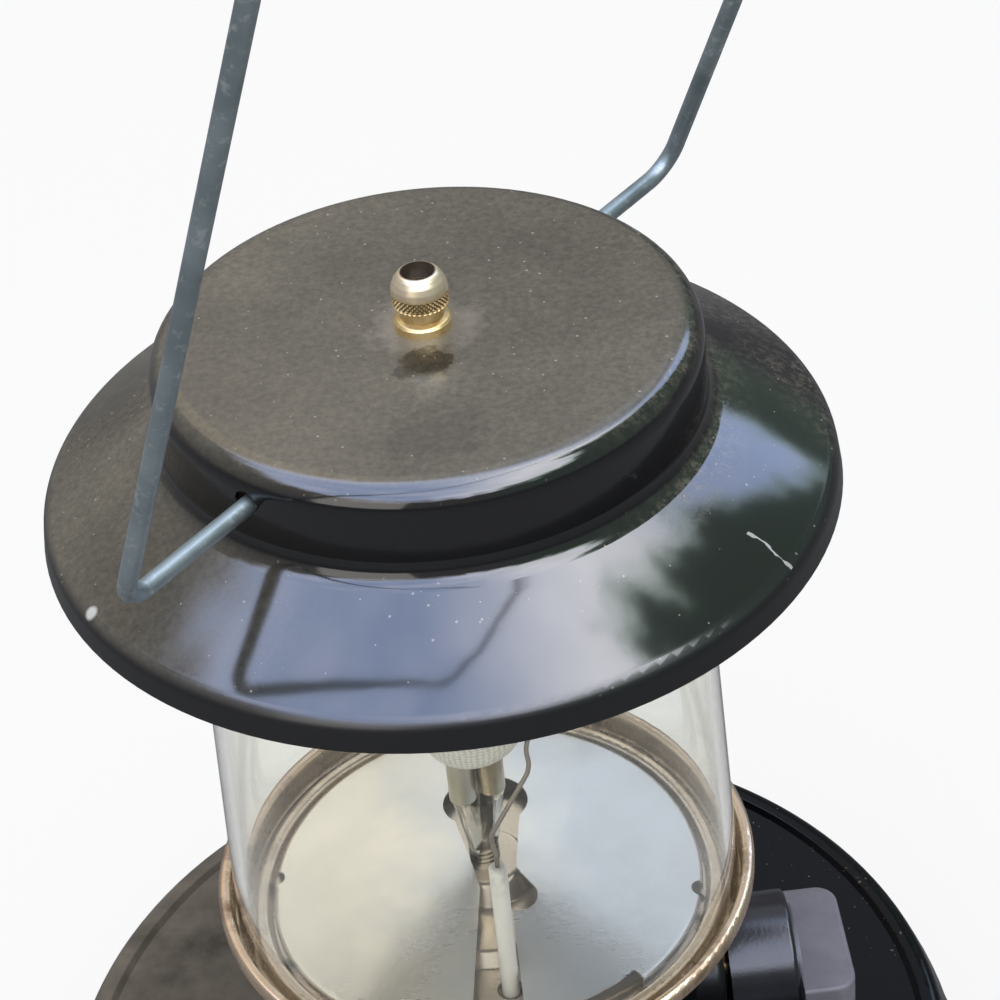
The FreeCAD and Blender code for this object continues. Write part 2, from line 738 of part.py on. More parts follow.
def regulator_cap():
    """The fluted cap on the regulator's spring housing, at the back of the knob's axis."""
    cap = turned(section((0, 0), (CAP_R, 0), (CAP_R, CAP_L, CAP_EDGE_R), (0, CAP_L)))
    flute = rod(CAP_FLUTE_R, -PAST, CAP_L + PAST, CAP_R + CAP_FLUTE_OUT)
    cap = cap.cut(around(flute, [360.0 / CAP_FLUTES * index for index in range(CAP_FLUTES)]))
    cap.rotate(Vector(0, 0, 0), Vector(1, 0, 0), 180)
    return laid_along_x(cap, CAP_START_X, CAP_Z)


def packing_nut():
    """A hexagonal nut with a bevelled face, round the valve stem."""
    nut = hexagon(PACKING_FLATS, 0, PACKING_L)
    nut = nut.common(turned(section(
        (0, 0), (PACKING_FLATS, 0), (PACKING_FLATS, PACKING_L - PACKING_BEVEL),
        (PACKING_FLATS / 2, PACKING_L), (0, PACKING_L))))
    nut = nut.cut(rod(STEM_R + FIT, -PAST, PACKING_L + PAST))
    return laid_along_x(nut, PORT_END_X, KNOB_Z)


def valve_stem():
    """A brass spindle with a flat for the knob."""
    stem = rod_x(STEM_R, STEM_INNER_X, KNOB_START_X + KNOB_BORE_L, KNOB_Z)
    corner = Vector(KNOB_START_X + PAST, -STEM_R, KNOB_Z + STEM_FLAT * STEM_R)
    return stem.cut(Part.makeBox(KNOB_BORE_L, 2 * STEM_R, STEM_R, corner))


def knob():
    """Made along +Z with the paddle upright, then laid along +X."""
    grip_low = SKIRT_L + NECK_L
    grip_top = grip_low + GRIP_L
    skirt = turned(section(
        (0, 0), (SKIRT_R, 0), (SKIRT_R, SKIRT_L, SKIRT_EDGE_R), (NECK_R, SKIRT_L),
        (NECK_R, grip_low + ROOT), (0, grip_low + ROOT)))
    grip = Part.makeBox(GRIP_T, GRIP_W, GRIP_L, Vector(-GRIP_T / 2, -GRIP_W / 2, grip_low))
    corners = []
    for edge in grip.Edges:
        box = edge.BoundBox
        if box.XLength > GRIP_T / 2 and box.ZMin > grip_top - 0.01:
            corners.append(edge)
    grip = grip.makeFillet(GRIP_CORNER_R, corners)
    rims = []
    for edge in grip.Edges:
        box = edge.BoundBox
        if box.XLength < 0.01 and box.ZMax > grip_low + ROOT:
            rims.append(edge)
    grip = grip.makeFillet(GRIP_EDGE_R, rims)
    pointer_r = SKIRT_R + POINTER_H
    pointer = Part.makeBox(pointer_r, POINTER_W, POINTER_L, Vector(0, -POINTER_W / 2, POINTER_START))
    pointer = pointer.common(rod(pointer_r, 0, SKIRT_L))
    # a direction of 0 degrees points to +Y once the knob lies along +X
    pointer = spun(pointer, POINTER_ANGLE - 90)
    whole = skirt.fuse([grip, pointer]).removeSplitter()
    recess = tube(SKIRT_R - KNOB_WALL, STEM_R + KNOB_HUB_WALL, -PAST, KNOB_RECESS_L)
    whole = whole.cut([rod(STEM_R + FIT, -PAST, KNOB_BORE_L + LOOSE), recess])
    return laid_along_x(whole, KNOB_START_X, KNOB_Z)


def igniter_body():
    """The spark module's barrel and its threaded nose, bored for the button."""
    bore_end = IGNITER_FACE_R - BUTTON_IN - BUTTON_TRAVEL - LOOSE
    nose_end = IGNITER_FACE_R + IGNITER_NUT_L
    body = rod_x(IGNITER_BARREL_R, IGNITER_INNER_R, IGNITER_BARREL_END, 0)
    body = body.fuse(rod_x(IGNITER_R, IGNITER_INNER_R, nose_end, 0))
    return igniter_frame(body.cut(rod_x(BUTTON_R + FIT, bore_end, nose_end + PAST, 0)))


def igniter_nut():
    """The nut that holds the igniter to its pad, a hexagon with turned corners."""
    nut = hexagon(2 * IGNITER_NUT_R * IGNITER_NUT_FLATS, 0, IGNITER_NUT_L)
    nut = nut.common(rod(IGNITER_NUT_R, 0, IGNITER_NUT_L))
    nut = nut.cut(rod(IGNITER_R + FIT, -PAST, IGNITER_NUT_L + PAST))
    return igniter_frame(laid_along_x(nut, IGNITER_FACE_R, 0))


def igniter_button():
    """A round push button with a shallow dish in its face."""
    length = BUTTON_IN + BUTTON_OUT
    dish_r = BUTTON_R - 1.5 * BUTTON_EDGE_R
    button = turned(section(
        (0, 0), (BUTTON_R, 0), (BUTTON_R, length, BUTTON_EDGE_R),
        (dish_r, length), (dish_r - BUTTON_DISH, length - BUTTON_DISH), (0, length - BUTTON_DISH)))
    return igniter_frame(laid_along_x(button, IGNITER_FACE_R - BUTTON_IN, 0))


def lead_route():
    """The spark lead's points, from the igniter's inner end to the electrode's foot."""
    turn = math.radians(IGNITER_ANGLE)
    outward = Vector(math.cos(turn), math.sin(turn), 0)
    height = Vector(0, 0, IGNITER_Z)
    points = [outward * IGNITER_INNER_R + height,
              outward * (IGNITER_INNER_R - LEAD_STRAIGHT) + height]
    points.extend(Vector(*bend) for bend in LEAD_BENDS)
    points.append(Vector(ELECTRODE_X, ELECTRODE_Y, INSULATOR_LOW_Z - LEAD_RISE))
    points.append(Vector(ELECTRODE_X, ELECTRODE_Y, INSULATOR_LOW_Z))
    return points


def igniter_lead():
    """The sleeved lead, held inside the housing from end to end."""
    points = lead_route()
    return wire_along(points, lasting_radii(points), LEAD_R)


def electrode_insulator():
    """A ceramic tube that stands in the front of the pan."""
    body = turned(section(
        (0, INSULATOR_LOW_Z), (INSULATOR_R, INSULATOR_LOW_Z),
        (INSULATOR_R, INSULATOR_TOP_Z - INSULATOR_EDGE),
        (INSULATOR_R - INSULATOR_EDGE, INSULATOR_TOP_Z), (0, INSULATOR_TOP_Z)))
    bore_r = ELECTRODE_WIRE_R + FIT
    body = body.cut(rod(bore_r, INSULATOR_LOW_Z - PAST, INSULATOR_TOP_Z + PAST))
    body.translate(Vector(ELECTRODE_X, ELECTRODE_Y, 0))
    return body


def electrode_wire():
    """Up through the ceramic, a kink to the left and then up the right side of the front mantle."""
    top = Vector(ELECTRODE_X, ELECTRODE_Y, INSULATOR_TOP_Z)
    points = [Vector(ELECTRODE_X, ELECTRODE_Y, INSULATOR_LOW_Z + ROOT),
              top + Vector(0, 0, WIRE_STRAIGHT)]
    points.extend(top + Vector(*bend) for bend in WIRE_BENDS)
    return wire_along(points, WIRE_BEND_RADII, ELECTRODE_WIRE_R)


def electrode_clip():
    """A split spring ring that holds the ceramic under the pan."""
    low = PAN_UNDER_Z - CLIP_H
    clip = tube(CLIP_R, INSULATOR_R + FIT, low, PAN_UNDER_Z)
    slit = Part.makeBox(2 * CLIP_R, CLIP_SLIT, 2 * CLIP_H,
                        Vector(0, -CLIP_SLIT / 2, low - CLIP_H / 2))
    clip = clip.cut(slit)
    clip.translate(Vector(ELECTRODE_X, ELECTRODE_Y, 0))
    return clip


def globe_pan():
    """Drawn from one sheet: hub, step, floor, the globe's bead, the wall and its turned rim."""
    mid = PAN_FLOOR_Z - PAN_T / 2
    hub_z = mid + PAN_HUB_H
    step_z = mid + PAN_STEP_H
    bead_z = mid + BEAD_H
    rim_z = mid + PAN_RIM_H
    rim_r = PAN_RIM_R - PAN_T / 2
    wall_r = rim_r - PAN_RIM_W
    bead_r = GLOBE_BEAD_R - PAN_T / 2
    bead_in = bead_r - BEAD_W
    pan = bent_sheet(
        PAN_T, (OUTLET_R + FIT, hub_z), (PAN_HUB_R, hub_z, PAN_BEND),
        (PAN_HUB_R + PAN_HUB_LEAN, step_z, PAN_BEND), (PAN_STEP_R, step_z, PAN_BEND),
        (PAN_STEP_R + PAN_STEP_LEAN, mid, PAN_BEND), (bead_in, mid, BEAD_BEND),
        (bead_in + BEAD_LEAN, bead_z, BEAD_BEND), (bead_r - BEAD_LEAN, bead_z, BEAD_BEND),
        (bead_r, mid, BEAD_BEND), (wall_r - PAN_WALL_LEAN, mid, PAN_WALL_BEND),
        (wall_r, rim_z, PAN_RIM_BEND), (rim_r, rim_z, PAN_RIM_BEND),
        (rim_r, rim_z - PAN_RIM_TURN))
    low = PAN_UNDER_Z - PAST
    high = PAN_FLOOR_Z + PAST
    holes = [rod(ELECTRODE_HOLE_R, low, high, ELECTRODE_X, ELECTRODE_Y)]
    for x, y in pan_screw_places():
        holes.append(rod(PAN_SCREW_R + FIT, low, high, x, y))
    vent = rod(VENT_R, low, high, bead_in - VENT_R - VENT_SET_IN)
    return pan.cut(holes + around(vent, VENT_ANGLES))


def pan_screws():
    """Three screws that hold the pan to the housing, under the heat plate."""
    screw = cross_screw(PAN_SCREW_HEAD_R, PAN_SCREW_HEAD_H, PAN_SCREW_R, PAN_SCREW_L)
    return set_at(screw, [(x, y, PAN_FLOOR_Z) for x, y in pan_screw_places()])


def slot_outline(low):
    """The keyhole's straight sides and the slot that opens to the front, seen from above."""
    mouth_y = -PLATE_R + PLATE_RELIEF
    side_y = mouth_y + SLOT_MOUTH_R
    corners = [
        (SLOT_BACK_LEFT, KEYHOLE_Y), (SLOT_BACK_LEFT, SLOT_BACK_Y),
        SLOT_WAIST_LEFT, (SLOT_FRONT_LEFT, mouth_y), (SLOT_FRONT_LEFT, -PLATE_R - PAST),
        (SLOT_RIGHT + SLOT_MOUTH_R, -PLATE_R - PAST), (SLOT_RIGHT + SLOT_MOUTH_R, mouth_y),
        (SLOT_RIGHT, side_y), (SLOT_RIGHT, SLOT_NOTCH_Y), SLOT_NOTCH_START, SLOT_WAIST_RIGHT,
        (SLOT_BACK_RIGHT, SLOT_BACK_Y), (SLOT_BACK_RIGHT, KEYHOLE_Y),
        (SLOT_BACK_LEFT, KEYHOLE_Y)]
    return Part.makePolygon([Vector(x, y, low) for x, y in corners])


def heat_plate():
    """A shallow cone with a turned-down edge, slotted so that it slips round the burner."""
    edge_top = PAN_FLOOR_Z + PLATE_EDGE_H
    edge_r = PLATE_R - PLATE_T / 2
    cone = bent_sheet(PLATE_T, (PLATE_APEX_R, edge_top + PLATE_RISE),
                      (edge_r, edge_top, PLATE_BEND), (edge_r, PAN_FLOOR_Z))
    low = PAN_FLOOR_Z - PAST
    high = edge_top + PLATE_RISE + 2 * PAST
    slot = Part.Face(slot_outline(low)).extrude(Vector(0, 0, high - low))
    cuts = [slot, rod(KEYHOLE_R, low, high, KEYHOLE_X, KEYHOLE_Y),
            rod(SLOT_NOTCH_R, low, high, SLOT_NOTCH_X, SLOT_NOTCH_Y)]
    # the front edge is relieved, and notched over the pan's vents
    start, end = PLATE_FRONT_ANGLES
    ring = tube(PLATE_R + PAST, PLATE_R - PLATE_RELIEF, low, high)
    wedge = Part.makeCylinder(2 * PLATE_R, high - low, Vector(0, 0, low), Vector(0, 0, 1), end - start)
    cuts.append(ring.common(spun(wedge, start)))
    cuts.extend(around(rod(VENT_R + LOOSE, low, high, PLATE_R), VENT_ANGLES))
    return cone.cut(cuts)


def jet_nut():
    """A ribbed nut below a faceted cone, with a spigot on top for the stem tube."""
    spigot_top = CONE_TOP_Z + JET_SPIGOT_L
    nut = rod(STEM_NUT_R, HUB_TOP_Z, STEM_NUT_TOP_Z)
    cone = Part.makeLoft([polygon(CONE_SIDES, CONE_LOW_R, STEM_NUT_TOP_Z),
                          polygon(CONE_SIDES, CONE_TOP_R, CONE_TOP_Z)], True, True)
    nut = nut.fuse([cone, rod(STEM_TUBE_R - STEM_TUBE_WALL - FIT, HUB_TOP_Z, spigot_top)])
    cuts = [rod(OUTLET_R + FIT, HUB_TOP_Z - PAST, STEM_NUT_TOP_Z - OUTLET_SHORT),
            rod(JET_R, HUB_TOP_Z, spigot_top + PAST)]
    pitch = STEM_NUT_H / (STEM_NUT_GROOVES + 1)
    half = STEM_NUT_GROOVE_W / 2
    for index in range(STEM_NUT_GROOVES):
        z = HUB_TOP_Z + pitch * (index + 1)
        cuts.append(tube(STEM_NUT_R + PAST, STEM_NUT_R - STEM_NUT_GROOVE_DEPTH, z - half, z + half))
    return nut.cut(cuts)


def stem_tube():
    """The gas tube that carries the burner head."""
    return tube(STEM_TUBE_R, STEM_TUBE_R - STEM_TUBE_WALL, CONE_TOP_Z, HEAD_Z + HEAD_SOCKET)


def air_tube(side):
    """An air tube, open below: the left one for -1, the right and shorter one for 1."""
    low = AIR_TUBE_LOW_Z + side * AIR_TUBE_STEP
    return tube(AIR_TUBE_R, AIR_TUBE_R - AIR_TUBE_WALL, low, HEAD_Z + HEAD_SOCKET,
                side * AIR_TUBE_X, AIR_TUBE_Y)


def burner_head():
    """A cast bar with round ends, a boss for the stud and a collar over each burner cap."""
    half = HEAD_W / 2
    bar = Part.makeBox(HEAD_W, 2 * BURNER_Y, HEAD_H, Vector(-half, -BURNER_Y, HEAD_Z))
    ends = [rod(half, HEAD_Z, HEAD_TOP_Z, 0, side * BURNER_Y) for side in (-1, 1)]
    bar = bar.fuse(ends).removeSplitter()
    top = [edge for edge in bar.Edges if edge.BoundBox.ZMin > HEAD_TOP_Z - 0.01]
    bar = bar.makeFillet(HEAD_EDGE_R, top)
    socket_top = HEAD_Z + HEAD_SOCKET
    low = HEAD_Z - PAST
    boss_top = HEAD_TOP_Z + HEAD_BOSS_H
    extras = [rod(HEAD_BOSS_R, HEAD_Z + HEAD_H / 2, boss_top)]
    cuts = [rod(STUD_R + FIT, HEAD_TOP_Z - STUD_DEPTH, boss_top + PAST),
            rod(STEM_TUBE_R + FIT, low, socket_top)]
    for side in (-1, 1):
        y = side * BURNER_Y
        extras.append(rod(BURNER_COLLAR_R, CAP_TOP_Z, HEAD_Z + ROOT, 0, y))
        cuts.append(rod(CAP_SPIGOT_R + FIT, CAP_TOP_Z - PAST, CAP_TOP_Z + CAP_SPIGOT_L, 0, y))
        cuts.append(rod(AIR_TUBE_R + FIT, low, socket_top, side * AIR_TUBE_X, AIR_TUBE_Y))
    return bar.fuse(extras).cut(cuts)


def burner_cap(side):
    """A nozzle with a groove for the mantle's string: the front one for -1, the back one for 1."""
    groove_z = CAP_TOP_Z - CAP_GROOVE_DROP
    half = CAP_GROOVE_W / 2
    edge = half + CAP_GROOVE_LEAN
    groove_r = CAP_TUBE_R - CAP_GROOVE
    spigot_top = CAP_TOP_Z + CAP_SPIGOT_L
    cap = turned(section(
        (0, CAP_LOW_Z), (CAP_TUBE_R, CAP_LOW_Z), (CAP_TUBE_R, groove_z - edge),
        (groove_r, groove_z - half), (groove_r, groove_z + half), (CAP_TUBE_R, groove_z + edge),
        (CAP_TUBE_R, CAP_TOP_Z), (CAP_SPIGOT_R, CAP_TOP_Z), (CAP_SPIGOT_R, spigot_top),
        (0, spigot_top)))
    cap = cap.cut([rod(CAP_BORE_R, CAP_LOW_Z - PAST, CAP_TOP_Z - CAP_ROOF),
                   rod(CAP_SPIGOT_R - CAP_SPIGOT_WALL, CAP_LOW_Z, spigot_top + PAST)])
    cap.translate(Vector(0, side * BURNER_Y, 0))
    return cap


def mantle(side):
    """A cloth bag tied round the cap: a sleeve above, full below, closed at the bottom."""
    sleeve_r = CAP_TUBE_R + FIT
    outer_r = sleeve_r + MANTLE_CLOTH
    tie_z = CAP_TOP_Z - MANTLE_TIE_DROP
    low = CAP_TOP_Z - MANTLE_L
    bag = turned(section(
        (sleeve_r, tie_z), (sleeve_r, CAP_LOW_Z), (0, CAP_LOW_Z), (0, low),
        (MANTLE_FOOT_R, low, MANTLE_FOOT_BEND),
        (MANTLE_R, CAP_LOW_Z - MANTLE_WIDE_DROP, MANTLE_WIDE_BEND), (outer_r, CAP_LOW_Z),
        (outer_r, tie_z)))
    bag.translate(Vector(0, side * BURNER_Y, 0))
    return bag


def top_stud():
    """The threaded stud from the burner head to the ball nut."""
    return rod(STUD_R, HEAD_TOP_Z - STUD_DEPTH, CROWN_Z + BALL_H - STUD_TOP_DROP)


def stud_nuts():
    """One nut below the baffle, one above it and one that carries the crown."""
    lows = (BAFFLE_Z - BAFFLE_T - NUT_H, BAFFLE_Z, CROWN_UNDER_Z - NUT_H)
    hole_r = STUD_R + FIT
    nuts = [hexagon(NUT_FLATS, low, low + NUT_H).cut(rod(hole_r, low - PAST, low + NUT_H + PAST))
            for low in lows]
    return Part.makeCompound(nuts)


def upper_baffle():
    """The sheet that turns the hot gas outwards, above the globe's mouth."""
    mid = BAFFLE_Z - BAFFLE_T / 2
    edge_z = mid - BAFFLE_DROP
    return bent_sheet(
        BAFFLE_T, (STUD_R + FIT, mid), (BAFFLE_FLAT_R, mid, BAFFLE_BEND),
        (BAFFLE_R - BAFFLE_LIP_W, edge_z, BAFFLE_LIP_BEND), (BAFFLE_R, edge_z - BAFFLE_LIP_H))


def globe():
    """A blown glass chimney, a little wider below, with fire-polished edges."""
    low = PAN_FLOOR_Z
    top = PAN_FLOOR_Z + GLOBE_H
    edge = GLOBE_EDGE_R
    return turned(section(
        (GLOBE_LOW_R - GLOBE_WALL, low, edge), (GLOBE_LOW_R, low, edge),
        (GLOBE_TOP_R, top, edge), (GLOBE_TOP_R - GLOBE_WALL, top, edge)))


def ventilator():
    """An enamelled pressing: crown, shoulder, wall, flared brim and a turned-down lip."""
    mid = CROWN_Z - VENT_T / 2
    wall_r = CROWN_R - VENT_T / 2
    lip_r = BRIM_R - VENT_T / 2
    shell = bent_sheet(
        VENT_T, (STUD_R + FIT, mid), (wall_r, mid, CROWN_BEND_R),
        (wall_r, CROWN_Z - WALL_H, NECK_BEND_R), (lip_r - LIP_LEAN, BRIM_Z, BRIM_BEND_R),
        (lip_r, BRIM_Z - LIP_H))
    raised = BAIL_Z + BAIL_HOLE_R - BAIL_WIRE_R - FIT
    hole = rod_x(BAIL_HOLE_R, -CROWN_R - PAST, CROWN_R + PAST, raised)
    return shell.cut(spun(hole, BAIL_ANGLE))


def ball_nut():
    """Turned brass: flange, neck, knurled band, dome and an open mouth."""
    low = CROWN_Z
    neck_low = low + BALL_FLANGE_H
    band_low = neck_low + BALL_NECK_H
    band_top = band_low + BALL_BAND_H
    top = low + BALL_H
    edge = BALL_EDGE
    nut = turned(section(
        (0, low), (BALL_FLANGE_R, low), (BALL_FLANGE_R, neck_low - edge),
        (BALL_FLANGE_R - edge, neck_low), (BALL_NECK_R, neck_low + edge),
        (BALL_NECK_R, band_low - edge), (BALL_BAND_R, band_low + edge), (BALL_BAND_R, band_top),
        (BALL_BAND_R - edge, top, BALL_DOME_BEND), (BALL_MOUTH_R, top),
        (BALL_MOUTH_R, top - BALL_MOUTH_DEPTH), (0, top - BALL_MOUTH_DEPTH)))
    return nut.cut(rod(STUD_R + FIT, low - PAST, top))


def bail():
    """Made upright in the XZ plane, slid to one side, leant forward and turned to its holes."""
    leg_end = CROWN_R - VENT_T - BAIL_END_INSIDE
    top_half = BAIL_HALF + BAIL_SPLAY
    corners = [(-leg_end, 0), (-BAIL_HALF, 0), (-top_half, BAIL_HEIGHT), (top_half, BAIL_HEIGHT),
               (BAIL_HALF, 0), (leg_end, 0)]
    radii = [BAIL_LOW_BEND_R, BAIL_TOP_BEND_R, BAIL_TOP_BEND_R, BAIL_LOW_BEND_R]
    wire = wire_along([flat(corner) for corner in corners], radii, BAIL_WIRE_R)
    wire.translate(Vector(BAIL_SHIFT, 0, 0))
    wire.rotate(Vector(0, 0, 0), Vector(1, 0, 0), BAIL_TILT)
    wire = spun(wire, BAIL_ANGLE)
    wire.translate(Vector(0, 0, BAIL_Z))
    return wire


def parts_of_lantern():
    """Every node, by name."""
    return {
        "base_dish": base_dish(),
        "housing_front": housing_half(-1),
        "housing_rear": housing_half(1),
        "housing_screws": housing_screws(),
        "regulator_body": regulator_body(),
        "valve_port": valve_port(),
        "inlet_seal": inlet_seal(),
        "depressor_pin": depressor_pin(),
        "regulator_cap": regulator_cap(),
        "packing_nut": packing_nut(),
        "valve_stem": valve_stem(),
        "knob": knob(),
        "igniter_body": igniter_body(),
        "igniter_nut": igniter_nut(),
        "igniter_button": igniter_button(),
        "igniter_lead": igniter_lead(),
        "electrode_insulator": electrode_insulator(),
        "electrode_wire": electrode_wire(),
        "electrode_clip": electrode_clip(),
        "globe_pan": globe_pan(),
        "pan_screws": pan_screws(),
        "heat_plate": heat_plate(),
        "jet_nut": jet_nut(),
        "stem_tube": stem_tube(),
        "air_tube_left": air_tube(-1),
        "air_tube_right": air_tube(1),
        "burner_head": burner_head(),
        "burner_cap_front": burner_cap(-1),
        "burner_cap_back": burner_cap(1),
        "mantle_front": mantle(-1),
        "mantle_back": mantle(1),
        "top_stud": top_stud(),
        "stud_nuts": stud_nuts(),
        "upper_baffle": upper_baffle(),
        "globe": globe(),
        "ventilator": ventilator(),
        "ball_nut": ball_nut(),
        "bail": bail(),
    }


os.makedirs("parts", exist_ok=True)
for name, shape in parts_of_lantern().items():
    if not shape.isValid():
        print("not valid:", name)
    shape.exportStep("parts/" + name + ".step")
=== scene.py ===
import math
import bmesh
import bpy
import numpy as np
from mathutils import Matrix, Vector


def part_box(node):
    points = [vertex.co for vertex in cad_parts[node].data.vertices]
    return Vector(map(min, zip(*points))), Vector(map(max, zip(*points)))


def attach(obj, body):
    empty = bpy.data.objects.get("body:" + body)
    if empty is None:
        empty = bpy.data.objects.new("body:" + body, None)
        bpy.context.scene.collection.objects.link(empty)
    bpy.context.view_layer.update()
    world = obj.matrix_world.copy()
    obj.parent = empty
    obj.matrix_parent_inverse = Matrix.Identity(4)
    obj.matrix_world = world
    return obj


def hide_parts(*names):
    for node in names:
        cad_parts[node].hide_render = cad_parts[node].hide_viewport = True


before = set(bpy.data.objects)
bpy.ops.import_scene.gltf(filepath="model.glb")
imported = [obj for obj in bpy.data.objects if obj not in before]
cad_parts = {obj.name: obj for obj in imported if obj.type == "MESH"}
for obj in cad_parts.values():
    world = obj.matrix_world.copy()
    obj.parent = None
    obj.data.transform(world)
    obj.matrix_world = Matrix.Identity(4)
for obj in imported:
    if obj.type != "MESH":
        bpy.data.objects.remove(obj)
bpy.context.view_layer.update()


# Camera
# It stands in front of the lantern, about half a metre off and well above it, looks down some
# 37 degrees and is rolled a little to the left.
swing, dip, roll = np.radians((1.393, 37.425, -5.746))
eye = (0.0001, -0.4598, 0.5458)
ahead = np.array((math.sin(swing) * math.cos(dip), math.cos(swing) * math.cos(dip),
                  -math.sin(dip)))
across = np.cross(ahead, (0, 0, 1))
across /= np.linalg.norm(across)
above = np.cross(across, ahead)
place = np.eye(4)
place[:3, 0] = math.cos(roll) * across + math.sin(roll) * above
place[:3, 1] = math.cos(roll) * above - math.sin(roll) * across
place[:3, 2] = -ahead
place[:3, 3] = eye
camera = bpy.data.objects.new("camera", bpy.data.cameras.new("camera"))
camera.data.lens = 103.2
camera.matrix_world = Matrix(place.tolist())
bpy.context.scene.collection.objects.link(camera)
bpy.context.scene.camera = camera


# Floor, background and lamps
# A sheet of matt paper under the lantern in a white room, lit evenly and by two lamps. The camera
# sees white all round, also through the glass. Polished surfaces mirror a dim floor, a low wall,
# a line of trees and a clouded sky.
def linear(code):
    """An sRGB hex colour as linear red, green, blue and alpha."""
    parts = [int(code[i:i + 2], 16) / 255 for i in (0, 2, 4)]
    return [p / 12.92 if p <= 0.04045 else ((p + 0.055) / 1.055) ** 2.4 for p in parts] + [1.0]


def add(tree, kind, *values, out=None, **named):
    """Adds one shader node and returns its first output, or the one that out names. Values fill
    the inputs that the node shows, in order; each is a link, a number, a vector or a hex colour.
    A named value is an input if its name has a capital, and otherwise a setting of the node."""
    node = tree.nodes.new("ShaderNode" + kind)
    for name, value in named.items():
        if name[0].islower():
            setattr(node, name, value)
    given = list(zip([socket for socket in node.inputs if socket.enabled], values))
    given += [(node.inputs[name], value) for name, value in named.items() if name[0].isupper()]
    for socket, value in given:
        if isinstance(value, bpy.types.NodeSocket):
            tree.links.new(value, socket)
        else:
            socket.default_value = linear(value) if isinstance(value, str) else value
    return node.outputs[out] if out else next(s for s in node.outputs if s.enabled)


def feed(node, **patterns):
    """Links a pattern to each named input of a node."""
    for name, pattern in patterns.items():
        node.id_data.links.new(pattern, node.inputs[name.replace("_", " ")])


def seen_rays(tree):
    """1 for a ray from the camera, straight or through glass, and 0 for any other."""
    straight = add(tree, "LightPath", out="Is Camera Ray")
    through = add(tree, "LightPath", out="Is Transmission Ray")
    return add(tree, "Math", straight, through, operation="MAXIMUM")


paper = bpy.data.materials.new("matt_white_paper")
paper.use_nodes = True
tree = paper.node_tree
sheet = tree.nodes["Principled BSDF"]
sheet.inputs["Base Color"].default_value = linear("e9e8e6")
sheet.inputs["Roughness"].default_value = 0.8
# the rest of what is seen is the lit paper itself, which keeps the lantern's shadow
flat_share, mirrored_level = 0.85, 0.14
mirrored = add(tree, "LightPath", out="Is Glossy Ray")
mirrored = add(tree, "Math", mirrored, flat_share, operation="MULTIPLY")
dim = add(tree, "Emission", "f2f5ff", mirrored_level)
shown = add(tree, "MixShader", mirrored, sheet.outputs[0], dim)
# a ray through glass counts as glossy too, so the white comes last
seen = add(tree, "Math", seen_rays(tree), flat_share, operation="MULTIPLY")
shown = add(tree, "MixShader", seen, shown, add(tree, "Emission", "ffffff", 1.0))
feed(tree.nodes["Material Output"], Surface=shown)
half = 4.0
floor_mesh = bpy.data.meshes.new("floor")
floor_mesh.from_pydata([(-half, -half, 0), (half, -half, 0), (half, half, 0), (-half, half, 0)],
                       [], [(0, 1, 2, 3)])
floor_mesh.materials.append(paper)
floor = bpy.data.objects.new("floor", floor_mesh)
bpy.context.scene.collection.objects.link(floor)

room = bpy.data.worlds.new("room")
bpy.context.scene.world = room
room.use_nodes = True
tree = room.node_tree
gaze = add(tree, "TexCoord", out="Generated")
right, back, up = (add(tree, "SeparateXYZ", gaze, out=side) for side in "XYZ")
# how high the trees reach, as the sine of the angle, by the bearing in degrees: 0 is behind the
# lantern and 90 is to its right
skyline = ((-180, 0.50), (-130, 0.60), (-95, 0.70), (-75, 0.74), (-55, 0.78), (-40, 0.52),
           (-14, 0.54), (2, 0.57), (14, 0.60), (24, 0.59), (34, 0.56), (40, 0.36), (48, 0.37),
           (54, 0.56), (60, 0.74), (72, 0.82), (84, 0.88), (100, 0.88), (125, 0.60), (180, 0.50))
turned = add(tree, "Math", right, back, operation="ARCTAN2")
treeline = add(tree, "ValToRGB", add(tree, "MapRange", turned, -math.pi, math.pi))
stops = treeline.node.color_ramp.elements
for bearing, _ in skyline[1:-1]:
    stops.new((bearing + 180) / 360)
for stop, (_, sine) in zip(stops, skyline):
    stop.color = (sine, sine, sine, 1.0)
twigs = add(tree, "MapRange", add(tree, "TexNoise", gaze, 9.0, 3.0), 0.3, 0.7, -0.05, 0.05)
over = add(tree, "Math", up, treeline, operation="SUBTRACT")
over = add(tree, "Math", over, twigs, operation="ADD")
sky = add(tree, "MapRange", over, -0.035, 0.06)
# the sky is blue on the left and at the far right, and brighter and nearly white between
clouds = add(tree, "MapRange", add(tree, "TexNoise", gaze, 2.6, 5.0), 0.42, 0.72, 0.0, 0.6)
behind = add(tree, "MapRange", back, 0.2, 0.4)
pale = add(tree, "Math", add(tree, "MapRange", right, -0.1, 0.35),
           add(tree, "Math", 1.0, behind, operation="SUBTRACT"), operation="MULTIPLY")
blue = add(tree, "Mix", clouds, "bfd3ff", "f2efff", data_type="RGBA")
sky_tone = add(tree, "Mix", pale, blue, "f6f7ff", data_type="RGBA")
cleared = add(tree, "Math", pale, clouds, operation="ADD")
sky_level = add(tree, "MapRange", cleared, 0.0, 1.6, 4.2, 8.0)
# behind the lantern it is dim, warm on the left and cool on the right
rear_level = 1.15
rear = add(tree, "Math", add(tree, "MapRange", back, 0.32, 0.5),
           add(tree, "MapRange", right, 0.52, 0.44), operation="MULTIPLY")
rear_tone = add(tree, "Mix", add(tree, "MapRange", right, -0.2, 0.2), "fff0d9", "dde8ff",
                data_type="RGBA")
sky_tone = add(tree, "Mix", rear, sky_tone, rear_tone, data_type="RGBA")
sky_level = add(tree, "Mix", rear, sky_level, rear_level)
